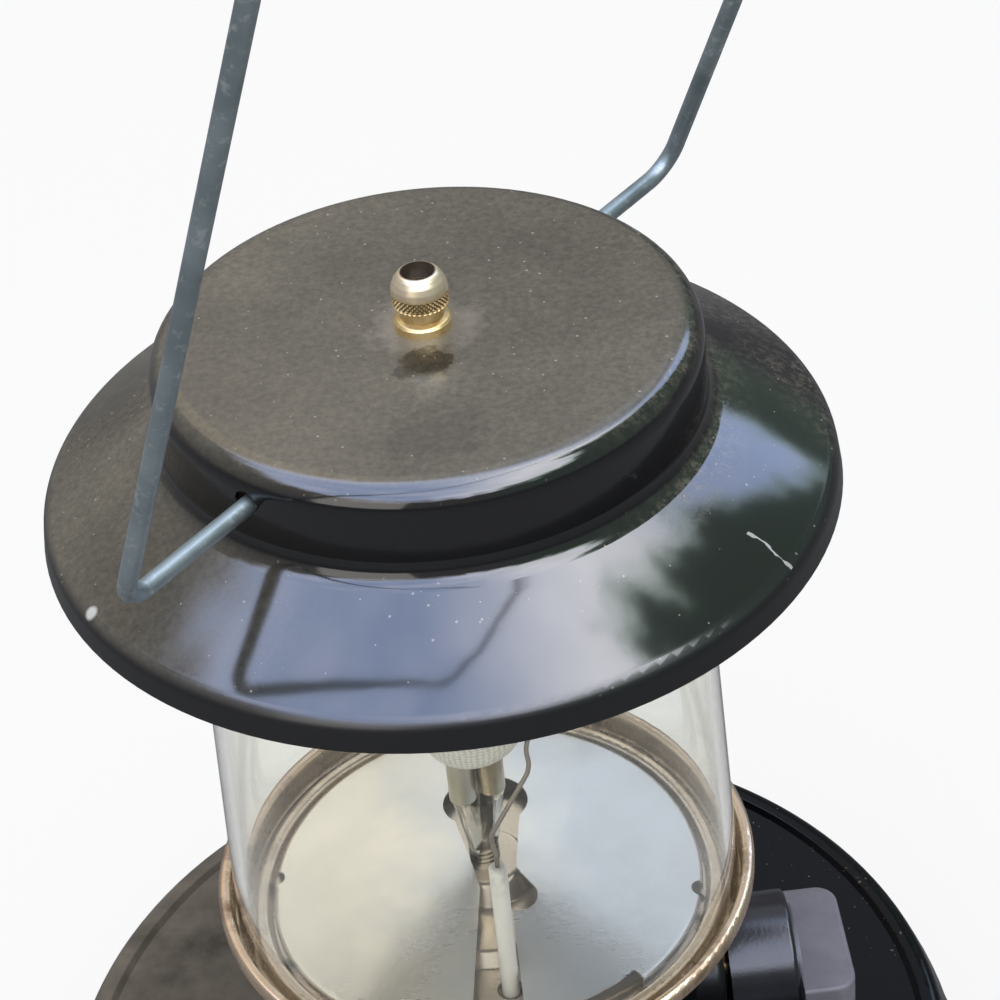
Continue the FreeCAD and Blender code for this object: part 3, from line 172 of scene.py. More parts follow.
# the trees are grey, and greener on the right, and below them is the low wall
leaf_level, wall_level = 0.38, 0.18
wall = add(tree, "MapRange", up, 0.08, 0.2, 1.0, 0.0)
leaves = add(tree, "Mix", add(tree, "MapRange", right, 0.25, 0.45), "ecebee", "dcfae8",
             data_type="RGBA")
low_tone = add(tree, "Mix", wall, leaves, "f4f5ff", data_type="RGBA")
low_level = add(tree, "MapRange", wall, 0, 1, leaf_level, wall_level)
# only polished surfaces mirror all this; the light that falls on the lantern is plain
plain_level, plain_tone = 0.55, "f4f6fa"
mirrored, seen = add(tree, "LightPath", out="Is Glossy Ray"), seen_rays(tree)
level = add(tree, "Mix", sky, low_level, sky_level)
level = add(tree, "Mix", mirrored, plain_level, level)
level = add(tree, "Mix", seen, level, 1.0)
tone = add(tree, "Mix", sky, low_tone, sky_tone, data_type="RGBA")
tone = add(tree, "Mix", mirrored, plain_tone, tone, data_type="RGBA")
tone = add(tree, "Mix", seen, tone, "ffffff", data_type="RGBA")
feed(tree.nodes["Background"], Color=tone, Strength=level)
bpy.context.scene.view_settings.view_transform = "Standard"


def lamp(name, spot, width, depth, glow, colour):
    """A lamp at a spot, facing the lantern: glow is how bright its face looks, white being 1."""
    data = bpy.data.lights.new(name, "AREA")
    data.shape = "RECTANGLE"
    data.size = width
    data.size_y = depth
    data.energy = glow * math.pi * width * depth
    data.color = linear(colour)[:3]
    box = bpy.data.objects.new(name, data)
    bpy.context.scene.collection.objects.link(box)
    box.location = spot
    aim = Vector((0, 0, 0.2)) - Vector(spot)
    box.rotation_euler = aim.to_track_quat("-Z", "Y").to_euler()
    return box


# the enamel would show the first one as a white square in its sky
overhead = lamp("overhead_lamp", (-0.15, -0.05, 1.55), 1.4, 0.8, 3.4, "f6f8ff")
overhead.visible_glossy = False
lamp("front_lamp", (-0.75, -1.2, 0.75), 0.9, 0.7, 1.4, "fffaf2")


# Stand
# One moulding in black polypropylene, with a foot band, a raised crest and a socket for the
# lantern. It is glossy from the tool, and dust has settled on it, most of all on the left.
def finish(name, **sockets):
    """A new material with its tree, its shader, and the Object coordinates its patterns read."""
    made = bpy.data.materials.new(name)
    made.use_nodes = True
    shader = made.node_tree.nodes["Principled BSDF"]
    for socket, value in sockets.items():
        shader.inputs[socket.replace("_", " ")].default_value = value
    where = add(made.node_tree, "TexCoord", out="Object")
    return made, made.node_tree, shader, where


def dress(material, *names):
    """Gives CAD nodes a material in every slot that they have."""
    for name in names:
        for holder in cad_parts[name].material_slots:
            holder.material = material


def spots(size):
    """The scale of a noise whose spots are this many millimetres across, half of its cell."""
    return 500.0 / size


mm = 0.001
polypropylene, tree, shader, where = finish("glossy_black_polypropylene", IOR=1.49,
                                            Specular_IOR_Level=0.15)
leftward = add(tree, "MapRange", add(tree, "SeparateXYZ", where, out="X"), 0.03, -0.10, 0.0, 0.78)
facing = add(tree, "SeparateXYZ", add(tree, "NewGeometry", out="Normal"), out="Z")
upward = add(tree, "MapRange", facing, 0.05, 0.75)
patches = add(tree, "TexNoise", where, spots(9), 5, 0.6)
patches = add(tree, "MapRange", patches, 0.32, 0.66, 0.35, 1.0)
dust = patches
for share in (leftward, upward):
    dust = add(tree, "Math", dust, share, operation="MULTIPLY")
specks = add(tree, "MapRange", add(tree, "TexNoise", where, spots(0.6), 1), 0.74, 0.80)
lying = add(tree, "Math", upward, 0.6, operation="MULTIPLY")
specks = add(tree, "Math", specks, lying, operation="MULTIPLY")
dust = add(tree, "Math", dust, specks, operation="MAXIMUM")
feed(shader, Base_Color=add(tree, "Mix", dust, "07090e", "91887a", data_type="RGBA"),
     Roughness=add(tree, "MapRange", dust, 0, 1, 0.13, 0.7),
     Normal=add(tree, "Bump", Height=add(tree, "TexNoise", where, spots(4), 1),
                Distance=0.03 * mm))
dress(polypropylene, "base_dish")


# Housing and its screws
# Two half shells in black ABS, spark-textured by the tool, that meet at a seam on the knob's axis
# and are held by four zinc-plated screws from behind.
abs_shell, tree, shader, where = finish("textured_black_abs", IOR=1.53, Specular_IOR_Level=0.35)
worn = add(tree, "MapRange", add(tree, "TexNoise", where, spots(14), 4, 0.6), 0.4, 0.8)
feed(shader, Base_Color=add(tree, "Mix", worn, "07080c", "101116", data_type="RGBA"),
     Roughness=add(tree, "MapRange", worn, 0, 1, 0.34, 0.52),
     Normal=add(tree, "Bump", Height=add(tree, "TexNoise", where, spots(0.5), 2),
                Distance=0.03 * mm))
dress(abs_shell, "housing_front", "housing_rear", "igniter_nut", "igniter_body")

# the plate is bright, with a fine grey cloud and scuffs from the driver
zinc_screw, tree, shader, where = finish("bright_zinc_plate", Metallic=1.0)
cloud = add(tree, "TexNoise", where, spots(1.5), 3)
scuffs = add(tree, "TexNoise", where, spots(0.8))
feed(shader, Base_Color=add(tree, "Mix", cloud, "8f9499", "c9ccce", data_type="RGBA"),
     Roughness=add(tree, "MapRange", scuffs, 0.3, 0.7, 0.25, 0.42))
dress(zinc_screw, "housing_screws", "pan_screws", "stud_nuts")


# Valve, inlet and stem
# The regulator is machined from free-cutting brass and left as cut, so it shines in fine rings. A
# nitrile ring seals the inlet, whose thread is cut at 20 turns to the inch.
def surface(name, grid, body, material, closed_rows=False):
    """A smooth skin over a grid of points, shape (rows, columns, 3). Each row is a closed ring.
    The quad at row i and column j joins (i, j), (i, j+1), (i+1, j+1) and (i+1, j)."""
    rows, columns = grid.shape[:2]
    steps = rows if closed_rows else rows - 1
    i, j = [part.ravel() for part in np.meshgrid(np.arange(steps), np.arange(columns),
                                                 indexing="ij")]
    corner_rows = np.stack((i, i, i + 1, i + 1), 1)
    corner_columns = np.stack((j, j + 1, j + 1, j), 1)
    loops = (corner_rows % rows) * columns + corner_columns % columns
    mesh = bpy.data.meshes.new(name)
    mesh.vertices.add(rows * columns)
    mesh.vertices.foreach_set("co", grid.astype(np.float32).ravel())
    mesh.loops.add(loops.size)
    mesh.loops.foreach_set("vertex_index", loops.ravel().astype(np.int32))
    mesh.polygons.add(len(loops))
    mesh.polygons.foreach_set("loop_start", np.arange(0, loops.size, 4, dtype=np.int32))
    mesh.update(calc_edges=True)
    layer = mesh.uv_layers.new(name="unrolled")
    spread = np.stack((corner_columns / columns, corner_rows / steps), -1)
    layer.data.foreach_set("uv", spread.astype(np.float32).ravel())
    made = bmesh.new()
    made.from_mesh(mesh)
    bmesh.ops.remove_doubles(made, verts=made.verts, dist=1e-7)
    bmesh.ops.dissolve_degenerate(made, edges=made.edges, dist=1e-8)
    bmesh.ops.recalc_face_normals(made, faces=made.faces)
    made.to_mesh(mesh)
    made.free()
    mesh.shade_smooth()
    mesh.set_sharp_from_angle(angle=math.radians(40))
    mesh.materials.append(material)
    piece = bpy.data.objects.new(name, mesh)
    bpy.context.scene.collection.objects.link(piece)
    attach(piece, body)
    return piece


def turning(columns):
    """The angles of a ring's points, once round."""
    return np.linspace(0, 2 * math.pi, columns, endpoint=False)


def ring_grid(radius, height, columns, centre=(0.0, 0.0)):
    """Points round an upright axis: x = r cos a, y = r sin a, z = height. Radius and height are
    one value for each row, or one for each row and column."""
    angle = turning(columns)[None, :]
    radius = np.reshape(radius, (len(radius), -1)) + 0 * angle
    height = np.reshape(height, (len(height), -1)) + 0 * angle
    return np.stack((centre[0] + radius * np.cos(angle), centre[1] + radius * np.sin(angle),
                     height), -1)


def saw(turns):
    """A triangle wave: 0 at whole turns, 1 half way between them."""
    return 1 - np.abs(2 * (turns % 1) - 1)


cut_brass, tree, shader, where = finish("free_cutting_brass", Metallic=1.0)
stain = add(tree, "MapRange", add(tree, "TexNoise", where, spots(6), 5, 0.65), 0.35, 0.75)
# a wave repeats every 0.314 / scale metres, so the tool's rings are 0.45 mm apart
rings = add(tree, "TexWave", where, 700.0, 0.3, bands_direction="Z", out="Fac")
feed(shader, Base_Color=add(tree, "Mix", stain, "d3b478", "9a7a45", data_type="RGBA"),
     Roughness=add(tree, "MapRange", stain, 0, 1, 0.22, 0.42),
     Normal=add(tree, "Bump", Height=rings, Distance=0.01 * mm))
dress(cut_brass, "regulator_body", "valve_port", "packing_nut", "regulator_cap", "valve_stem",
      "depressor_pin")

# the ring is matt and nearly black, with a faint bloom
nitrile, tree, shader, where = finish("nitrile_rubber", IOR=1.52, Roughness=0.62)
bloom = add(tree, "TexNoise", where, spots(1), 3)
feed(shader, Base_Color=add(tree, "Mix", bloom, "0d0d0e", "1c1c1e", data_type="RGBA"))
dress(nitrile, "inlet_seal")

low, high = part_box("regulator_body")
mouth_z = low.z
thread_h, thread_r, thread_pitch, thread_depth = 11.5 * mm, 12.7 * mm, 1.27 * mm, 0.5 * mm
thread_start, run_out = 0.2 * mm, 0.8 * mm
rows, columns = 76, 96
ladder = np.linspace(mouth_z + thread_start, mouth_z + thread_h, rows)[:, None]
turn = turning(columns)[None, :] / (2 * math.pi)
ends = np.clip(np.minimum(ladder - ladder[0], ladder[-1] - ladder) / run_out, 0, 1)
ridge = thread_r - thread_depth * saw(ladder / thread_pitch - turn) * ends
# its hidden side lies a tenth of a millimetre inside the inlet's wall
back = np.full((2, columns), thread_r + 0.1 * mm)
radii = np.vstack((ridge, back))
levels = np.vstack((ladder + 0 * turn, ladder[-1:] + 0 * turn, ladder[:1] + 0 * turn))
inlet_thread = surface("inlet_thread", ring_grid(radii, levels, columns), "lantern", cut_brass,
                       closed_rows=True)


# Knob
# A paddle and skirt moulded in black nylon. The skirt is still dark and satin, and the grip has
# gone grey and slightly rough where fingers hold it.
nylon, tree, shader, where = finish("moulded_black_nylon", IOR=1.53)
grip_x = 0.0686
held = add(tree, "MapRange", add(tree, "SeparateXYZ", where, out="X"), grip_x - 0.4 * mm,
           grip_x + 0.4 * mm)
smear = add(tree, "MapRange", add(tree, "TexNoise", where, spots(5), 4, 0.6), 0.3, 0.75)
skirt_tone = add(tree, "Mix", smear, "1a1b22", "2e2f38", data_type="RGBA")
grip_tone = add(tree, "Mix", smear, "7a7982", "908f99", data_type="RGBA")
feed(shader, Base_Color=add(tree, "Mix", held, skirt_tone, grip_tone, data_type="RGBA"),
     Roughness=add(tree, "MapRange", held, 0, 1, 0.22, 0.5),
     Normal=add(tree, "Bump", Height=add(tree, "TexNoise", where, spots(0.4), 2),
                Distance=0.02 * mm))
dress(nylon, "knob")


# Igniter and its lead
# A push-button spark module: a red button in a black threaded nose. Its lead has a silicone sleeve
# and runs inside the housing to the electrode.
# the button is glossy from the tool, and satin where a finger has rubbed it
button_abs, tree, shader, where = finish("moulded_red_abs", IOR=1.53)
rub = add(tree, "MapRange", add(tree, "TexNoise", where, spots(3), 4, 0.6), 0.35, 0.75)
feed(shader, Base_Color=add(tree, "Mix", rub, "8e1a17", "a52f28", data_type="RGBA"),
     Roughness=add(tree, "MapRange", rub, 0, 1, 0.28, 0.45))
dress(button_abs, "igniter_button")

# the sleeve is an even, dull grey
silicone, tree, shader, where = finish("silicone_sleeve", IOR=1.41, Roughness=0.55)
chalk = add(tree, "TexNoise", where, spots(2), 2)
feed(shader, Base_Color=add(tree, "Mix", chalk, "8d8a86", "a3a09b", data_type="RGBA"))
dress(silicone, "igniter_lead")


# Electrode
# A glazed steatite tube, whiter than anything near it, with a spring wire of nickel-chromium that
# kinks above it and leans over to the mantle. A spring clip holds it under the pan.
steatite, tree, shader, where = finish("glazed_steatite", IOR=1.55, Roughness=0.35,
                                       Coat_Weight=0.4, Coat_Roughness=0.12)
tube_top = 0.125
sooty = add(tree, "MapRange", add(tree, "SeparateXYZ", where, out="Z"), tube_top - 8 * mm,
            tube_top + 1 * mm)
flecks = add(tree, "MapRange", add(tree, "TexNoise", where, spots(2), 4), 0.4, 0.7)
sooty = add(tree, "Math", sooty, flecks, operation="MULTIPLY")
feed(shader, Base_Color=add(tree, "Mix", sooty, "fcfbf7", "a09b92", data_type="RGBA"))
dress(steatite, "electrode_insulator", "burner_cap_front", "burner_cap_back")

# the flame has browned the wire and left it dull in spots
spring_wire, tree, shader, where = finish("oxidised_nickel_chromium", Metallic=1.0)
oxide = add(tree, "TexNoise", where, spots(1.2), 3)
scale = add(tree, "TexNoise", where, spots(0.6))
feed(shader, Base_Color=add(tree, "Mix", oxide, "6d6760", "948c80", data_type="RGBA"),
     Roughness=add(tree, "MapRange", scale, 0.3, 0.7, 0.3, 0.5))
dress(spring_wire, "electrode_wire", "electrode_clip")


# Globe pan
# Drawn from steel sheet and nickel-plated. Burner heat has turned the plate straw and brown
# outside the heat plate, and soot has stuck to it in spots.
def off_axis(tree, where):
    """How far a point is from the lantern's upright axis: the length of its x and y."""
    x, y = (add(tree, "SeparateXYZ", where, out=side) for side in "XY")
    return add(tree, "VectorMath", add(tree, "CombineXYZ", x, y), operation="LENGTH")


def patch(tree, where, spot, edge, core, ragged=None):
    """A round patch: 0 from its edge outwards and 1 inside its core, by the distance from a spot
    in metres. A ragged pattern is added to the distance first."""
    gap = add(tree, "VectorMath", where, spot, operation="DISTANCE")
    if ragged is not None:
        gap = add(tree, "Math", gap, ragged, operation="ADD")
    return add(tree, "MapRange", gap, edge, core)


plated, tree, shader, where = finish("heat_tarnished_nickel_plate", Metallic=0.75)
outward = off_axis(tree, where)
cloud = add(tree, "TexNoise", where, spots(11), 5, 0.6)
heated = add(tree, "MapRange", outward, 44 * mm, 60 * mm)
heated = add(tree, "Math", heated, cloud, operation="ADD")
straw = add(tree, "MapRange", heated, 0.75, 1.45)
brown = add(tree, "MapRange", add(tree, "TexNoise", where, spots(5), 5, 0.65), 0.52, 0.74)
brown = add(tree, "Math", brown, add(tree, "MapRange", outward, 46 * mm, 55 * mm),
            operation="MULTIPLY")
metal = add(tree, "Mix", straw, "e4d8cb", "d8c0a6", data_type="RGBA")
metal = add(tree, "Mix", brown, metal, "7e6149", data_type="RGBA")
# clumps of soot in the trough: where they are and how far they reach
trough_z = 0.0885
soot = None
for x, y, reach in ((-0.0455, -0.0190, 3.4 * mm), (0.0440, -0.0195, 3.0 * mm),
                    (-0.0300, -0.0440, 2.2 * mm)):
    clump = patch(tree, where, (x, y, trough_z), reach, 0.25 * reach)
    soot = clump if soot is None else add(tree, "Math", soot, clump, operation="MAXIMUM")
crumbs = add(tree, "MapRange", add(tree, "TexNoise", where, spots(1.6), 4), 0.35, 0.6)
soot = add(tree, "Math", soot, crumbs, operation="MULTIPLY")
dull = add(tree, "Math", add(tree, "Math", brown, 0.22, operation="MULTIPLY"),
           add(tree, "Math", soot, 0.5, operation="MULTIPLY"), operation="ADD")
polish = add(tree, "MapRange", cloud, 0.3, 0.7, 0.20, 0.32)
feed(shader, Base_Color=add(tree, "Mix", soot, metal, "2a2521", data_type="RGBA"),
     Roughness=add(tree, "Math", dull, polish, operation="ADD"),
     Normal=add(tree, "Bump", Height=add(tree, "TexNoise", where, spots(3), 3),
                Distance=0.02 * mm))
dress(plated, "globe_pan")


# Heat plate
# Pressed from bright-rolled aluminium, left bare, and without markings. The rolling has drawn
# faint lines across it, and its left half is painted warmer than its right as a painted
# reflection.
aluminium, tree, shader, where = finish("bright_rolled_aluminium")
drawn = add(tree, "Mapping", where, Rotation=(0, 0, 0.5), Scale=(0.06, 1.0, 1.0))
lines = add(tree, "TexNoise", drawn, spots(0.35), 3, 0.6)
smear = add(tree, "MapRange", add(tree, "TexNoise", where, spots(12), 4, 0.6), 0.35, 0.8)
x, y = (add(tree, "SeparateXYZ", where, out=side) for side in "XY")
# the tone goes from warm on the left to cool on the right: a painted reflection of the
# surroundings
wander = add(tree, "Math", smear, 20 * mm, operation="MULTIPLY")
side = add(tree, "Math", x, wander, operation="ADD")
side = add(tree, "MapRange", side, -20 * mm, 26 * mm)
plain = add(tree, "Mix", side, "f5ede0", "d2dbee", data_type="RGBA")
greyed = add(tree, "Math", smear, 0.3, operation="MULTIPLY")
# wiping has dulled it in front of the burner, beside the slot
front_patch = patch(tree, where, (0.002, -0.046, 0.095), 40 * mm, 12 * mm)
shine = add(tree, "Math", lines, smear, operation="ADD")
shine = add(tree, "MapRange", shine, 0.5, 1.3, 0.17, 0.27)
satin = add(tree, "Math", front_patch, 0.14, operation="MULTIPLY")
# handling has buckled it by a third of a millimetre, and it leans five degrees down to the back.
# These heights are in millimetres: the lean takes 87.5 of them for each metre.
buckled = add(tree, "TexNoise", where, spots(16), 2)
buckled = add(tree, "Math", buckled, 0.35, operation="MULTIPLY")
ridges = add(tree, "Math", lines, 0.003, operation="MULTIPLY")
height = add(tree, "Math", buckled, ridges, operation="ADD")
height = add(tree, "Math", height, add(tree, "Math", y, -87.5, operation="MULTIPLY"),
             operation="ADD")
feed(shader, Base_Color=add(tree, "Mix", greyed, plain, "b9b9b6", data_type="RGBA"),
     Metallic=add(tree, "MapRange", front_patch, 0, 1, 0.88, 0.45),
     Roughness=add(tree, "Math", shine, satin, operation="ADD"),
     Normal=add(tree, "Bump", Height=height, Distance=1.0 * mm))
dress(aluminium, "heat_plate")


# Burner
# The stem and air tubes are nickel-plated steel, one of them gone dull and one straw-coloured with
# heat. The jet nut is nickel-plated brass, and the head is cast iron with a heat-proof coat.
# the bright plate has painted reflections: dark streaks of its neighbours, painted up the stem
nickel, tree, shader, where = finish("bright_nickel_plate", Metallic=1.0)
upright = add(tree, "Mapping", where, Scale=(1.0, 1.0, 0.08))
painted_streaks = add(tree, "MapRange", add(tree, "TexNoise", upright, spots(1.5), 4, 0.6), 0.42, 0.58)
feed(shader, Base_Color=add(tree, "Mix", painted_streaks, "d3cec2", "6d675c", data_type="RGBA"),
     Roughness=add(tree, "MapRange", painted_streaks, 0, 1, 0.08, 0.2))
dress(nickel, "stem_tube", "jet_nut")

# each air tube's name, finish, two tones, size of their clouds, roughness and size of its spots
for tube, name, first, second, cloud_size, rough, spot_size in (
        ("air_tube_left", "dull_nickel_plate", "b4b1a2", "c9c5b7", 3, (0.3, 0.45), 1.5),
        ("air_tube_right", "heat_straw_nickel_plate", "c2b79c", "a89d84", 4, (0.16, 0.3), 2)):
    tube_nickel, tree, shader, where = finish(name, Metallic=1.0)
    cloud = add(tree, "TexNoise", where, spots(cloud_size), 4)
    scuffs = add(tree, "TexNoise", where, spots(spot_size))
    feed(shader, Base_Color=add(tree, "Mix", cloud, first, second, data_type="RGBA"),
         Roughness=add(tree, "MapRange", scuffs, 0.3, 0.7, *rough))
    dress(tube_nickel, tube)

# the coat is dark grey and rough as cast, and heat has browned it in patches
cast_iron, tree, shader, where = finish("coated_cast_iron", Metallic=0.6, Roughness=0.6)
crust = add(tree, "TexNoise", where, spots(5), 5, 0.6)
feed(shader, Base_Color=add(tree, "Mix", crust, "3c3a37", "5d5852", data_type="RGBA"),
     Normal=add(tree, "Bump", Height=add(tree, "TexNoise", where, spots(0.7), 3),
                Distance=0.12 * mm))
dress(cast_iron, "burner_head")


# Mantles
# Each is a knitted rayon sock soaked in metal salts, tied round its burner cap with a thread and
# burnt in once, so that only a white, brittle ash of the cloth is left, gathered below the tie.
ash_cloth, tree, shader, where = finish("burnt_in_mantle_cloth", IOR=1.45, Roughness=0.9)
# 64 stitches round and 40 rows of them, so each is a little over a millimetre wide and high
stitch = add(tree, "Mapping", add(tree, "UVMap", uv_map="unrolled"), Scale=(64, 40, 1))
knit = add(tree, "TexVoronoi", stitch, 1.0, Randomness=0.25, voronoi_dimensions="2D")
# the cloth is painted darker between the stitches, as painted shade in the gaps
stitch_shade = add(tree, "MapRange", knit, 0.15, 0.6)
feed(shader, Base_Color=add(tree, "Mix", stitch_shade, "f4f2ec", "cfccc4", data_type="RGBA"),
     Normal=add(tree, "Bump", Height=knit, Distance=-0.25 * mm))

# the thread is off-white and matt, with darker flecks where its strands cross
tie_thread, tree, shader, where = finish("twisted_cotton_thread", IOR=1.47, Roughness=0.85)
twist = add(tree, "TexNoise", where, spots(0.5), 2)
feed(shader, Base_Color=add(tree, "Mix", twist, "d9d4c8", "b3ac9d", data_type="RGBA"))

bag_rows, bag_columns = 72, 144
neck, cotton_r, cotton_step, tie_drop = 6.0 * mm, 0.28 * mm, 0.5 * mm, 2.1 * mm
for side, seed in (("front", 3), ("back", 8)):
    low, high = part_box("mantle_" + side)
    middle = (low + high) / 2
    belly = (high.x - low.x) / 2 - 0.4 * mm
    # the ash shrank a little as it burnt in, so the bag hangs shorter than its solid
    tall = 0.86 * (high.z - low.z)
    along = np.linspace(0, 1, bag_rows)[:, None]
    angle = turning(bag_columns)[None, :]
    # frill above the tie, sleeve, then a bag that is fullest half way down and rounds in below
    bag = np.clip((along - 0.26) / 0.74, 0, 1)
    shape = neck + (belly - neck) * np.sin(np.clip(bag / 0.52, 0, 1) * math.pi / 2) ** 0.8
    droop = np.clip((bag - 0.52) / 0.48, 0, 1)
    shape = shape * np.sqrt(np.clip(1 - droop ** 2.6, 0, 1))
    frill = np.clip(1 - along / 0.05, 0, 1)
    # the cloth is gathered in pleats under the tie, and the bag leans and has one dent
    gather = np.exp(-((bag - 0.02) / 0.22) ** 2) * 0.10 + frill * 0.16
    pleats = np.sin(22 * angle + seed) + 0.5 * np.sin(13 * angle + 2 * seed)
    lean = 0.035 * np.sin(3 * angle + seed + 4 * bag) * np.sin(math.pi * bag)
    dent = 0.05 * np.exp(-((np.cos(angle - seed) - 1) / 0.35) ** 2 - ((bag - 0.7) / 0.2) ** 2)
    radius = shape * (1 + 0.25 * frill) * (1 + gather * pleats + lean - dent)
    radius[0] = np.maximum(radius[0], neck)
    radius = np.minimum(radius, belly)
    # the foot is drawn together to a point, a little above the lowest part of the bag
    tuck = 1.6 * mm * np.exp(-(radius / (3.5 * mm)) ** 2) * (bag > 0.6)
    height = high.z - along * tall + tuck
    cloth = surface("mantle_cloth_" + side, ring_grid(radius, height, bag_columns,
                                                      (middle.x, middle.y)), "lantern", ash_cloth)
    wall = cloth.modifiers.new("cloth", "SOLIDIFY")
    wall.thickness = 0.3 * mm
    wall.offset = -1
    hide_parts("mantle_" + side)
    # two turns of thread over the sleeve, which rise and fall by half a millimetre on the way
    bend = np.linspace(0, 2 * math.pi, 10, endpoint=False)[None, :]
    trip = np.linspace(0, 4 * math.pi, 120, endpoint=False)[:, None]
    step = cotton_step * np.sin(trip / 2)
    reach = neck + 0.4 * mm + cotton_r * np.cos(bend)
    coil = np.stack((middle.x + reach * np.cos(trip), middle.y + reach * np.sin(trip),
                     high.z - tie_drop + step + cotton_r * np.sin(bend)), -1)
    tie = surface("mantle_tie_" + side, coil, "lantern", tie_thread, closed_rows=True)


# Stud and baffle
# A zinc-plated threaded rod carries the top, and the baffle is pressed from aluminised sheet that
# heat has clouded.
stud_low, stud_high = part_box("top_stud")
stud_r, stud_pitch, stud_depth, chamfer, chamfer_h = (v * mm for v in (2.9, 1, 0.42, 0.6, 1.2))
rows_per_turn, columns = 6, 24
count = int((stud_high.z - stud_low.z) / stud_pitch * rows_per_turn)
ladder = np.linspace(stud_low.z, stud_high.z, count)[:, None]
turn = turning(columns)[None, :] / (2 * math.pi)
ends = np.clip(np.minimum(ladder - ladder[0], ladder[-1] - ladder) / chamfer_h, 0, 1)
radii = stud_r - stud_depth * saw(ladder / stud_pitch - turn) - chamfer * (1 - ends)
radii = np.vstack((np.zeros((1, columns)), radii, np.zeros((1, columns))))
levels = np.vstack((ladder[:1], ladder, ladder[-1:])) + 0 * turn
stud = surface("threaded_stud", ring_grid(radii, levels, columns), "lantern", zinc_screw)
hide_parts("top_stud")

aluminised, tree, shader, where = finish("aluminised_steel_sheet", Metallic=1.0)
burnt = add(tree, "MapRange", add(tree, "TexNoise", where, spots(14), 5, 0.6), 0.35, 0.7)
spangle = add(tree, "TexNoise", where, spots(3), 3)
feed(shader, Base_Color=add(tree, "Mix", burnt, "9b9a98", "6f6558", data_type="RGBA"),
     Roughness=add(tree, "MapRange", spangle, 0.3, 0.7, 0.35, 0.55))
dress(aluminised, "upper_baffle")


# Globe
# Blown borosilicate glass, clear and without markings. Lamps shine through it, and handling has
# left it slightly smeared.
glass, tree, shader, where = finish("blown_borosilicate_glass", IOR=1.47, Transmission_Weight=1.0)
shader.inputs["Base Color"].default_value = linear("fafbf7")
smears = add(tree, "TexNoise", where, spots(16), 4, 0.6)
feed(shader, Roughness=add(tree, "MapRange", smears, 0.5, 0.8, 0.0, 0.07))
shadow_ray = add(tree, "LightPath", out="Is Shadow Ray")
clear = add(tree, "BsdfTransparent", "f2f4ef")
feed(tree.nodes["Material Output"],
     Surface=add(tree, "MixShader", shadow_ray, shader.outputs[0], clear))
dress(glass, "globe")


# Ventilator
# A steel pressing dipped in black vitreous enamel and fired, so it is hard, deep and glossy. Dust
# lies on the crown and on the left of the brim, and the brim has a drop of paint and a scratch.
enamel, tree, shader, where = finish("black_vitreous_enamel", IOR=1.6, Specular_IOR_Level=0.75)
crown_z = 0.2385
crown = add(tree, "MapRange", add(tree, "SeparateXYZ", where, out="Z"), crown_z - 0.9 * mm,
            crown_z - 0.2 * mm)
facing = add(tree, "SeparateXYZ", add(tree, "NewGeometry", out="Normal"), out="Z")
upward = add(tree, "MapRange", facing, 0.35, 0.9)
outward = off_axis(tree, where)
# a film of dust on the rear left of the brim and, in patches, all over the crown
leftward = add(tree, "VectorMath", where, (-0.75, 0.66, 0), operation="DOT_PRODUCT")
leftward = add(tree, "MapRange", leftward, -35 * mm, 40 * mm)
patches = add(tree, "TexNoise", where, spots(22), 5, 0.6)
brim_film = add(tree, "Math", leftward, add(tree, "MapRange", patches, 0.3, 0.65, 0.58, 1.0),
                operation="MULTIPLY")
top_film = add(tree, "MapRange", patches, 0.35, 0.65, 0.54, 0.80)
# before the nut the film is left off, as a painted dark reflection of it; further on it is thinner
torn = add(tree, "TexNoise", where, spots(2.5), 4, 0.7)
torn = add(tree, "MapRange", torn, 0.3, 0.7, -2.5 * mm, 2.5 * mm)
frayed = add(tree, "Math", torn, 2.0, operation="MULTIPLY")
front_patch = patch(tree, where, (-0.0005, -0.0140, crown_z), 6.0 * mm, 4.5 * mm, torn)
thinner = patch(tree, where, (-0.001, -0.036, crown_z), 12.0 * mm, 6.0 * mm, frayed)
for spot, share in ((front_patch, 0.85), (thinner, 0.28)):
    lost = add(tree, "Math", spot, share, operation="MULTIPLY")
    left = add(tree, "Math", 1.0, lost, operation="SUBTRACT")
    top_film = add(tree, "Math", top_film, left, operation="MULTIPLY")
top_film = add(tree, "Math", crown, top_film, operation="MULTIPLY")
film = add(tree, "Math", brim_film, top_film, operation="MAXIMUM")
# grit has gathered in the hollow at the wall's foot on the right, and on the brim behind it
right = add(tree, "VectorMath", where, (0.98, 0.20, 0), operation="DOT_PRODUCT")
foot = add(tree, "Math", add(tree, "MapRange", outward, 64.5 * mm, 56 * mm),
           add(tree, "MapRange", right, 15 * mm, 40 * mm), operation="MULTIPLY")
rear = add(tree, "VectorMath", where, (0.86, 0.51, 0), operation="DOT_PRODUCT")
rear = add(tree, "MapRange", rear, 56 * mm, 68 * mm)
drifts = add(tree, "TexNoise", where, spots(9), 4, 0.6)
drifts = add(tree, "MapRange", drifts, 0.35, 0.65, 0.3, 1.0)
grit = add(tree, "TexNoise", where, spots(1.0), 4, 0.8)
grit = add(tree, "MapRange", grit, 0.46, 0.60, 0.14, 1.0)
grit = add(tree, "Math", grit, drifts, operation="MULTIPLY")
grit = add(tree, "Math", grit, add(tree, "Math", foot, rear, operation="MAXIMUM"),
           operation="MULTIPLY")
film = add(tree, "Math", film, grit, operation="MAXIMUM")
fine = add(tree, "TexNoise", where, spots(0.7), 4, 0.75)
fine = add(tree, "MapRange", fine, 0.35, 0.7, 0.68, 1.22)
for share in (fine, upward):
    film = add(tree, "Math", film, share, operation="MULTIPLY")
covered = add(tree, "Math", film, 0.66, operation="MULTIPLY")
coat = add(tree, "Mix", covered, "060709", "8d8675", data_type="RGBA")
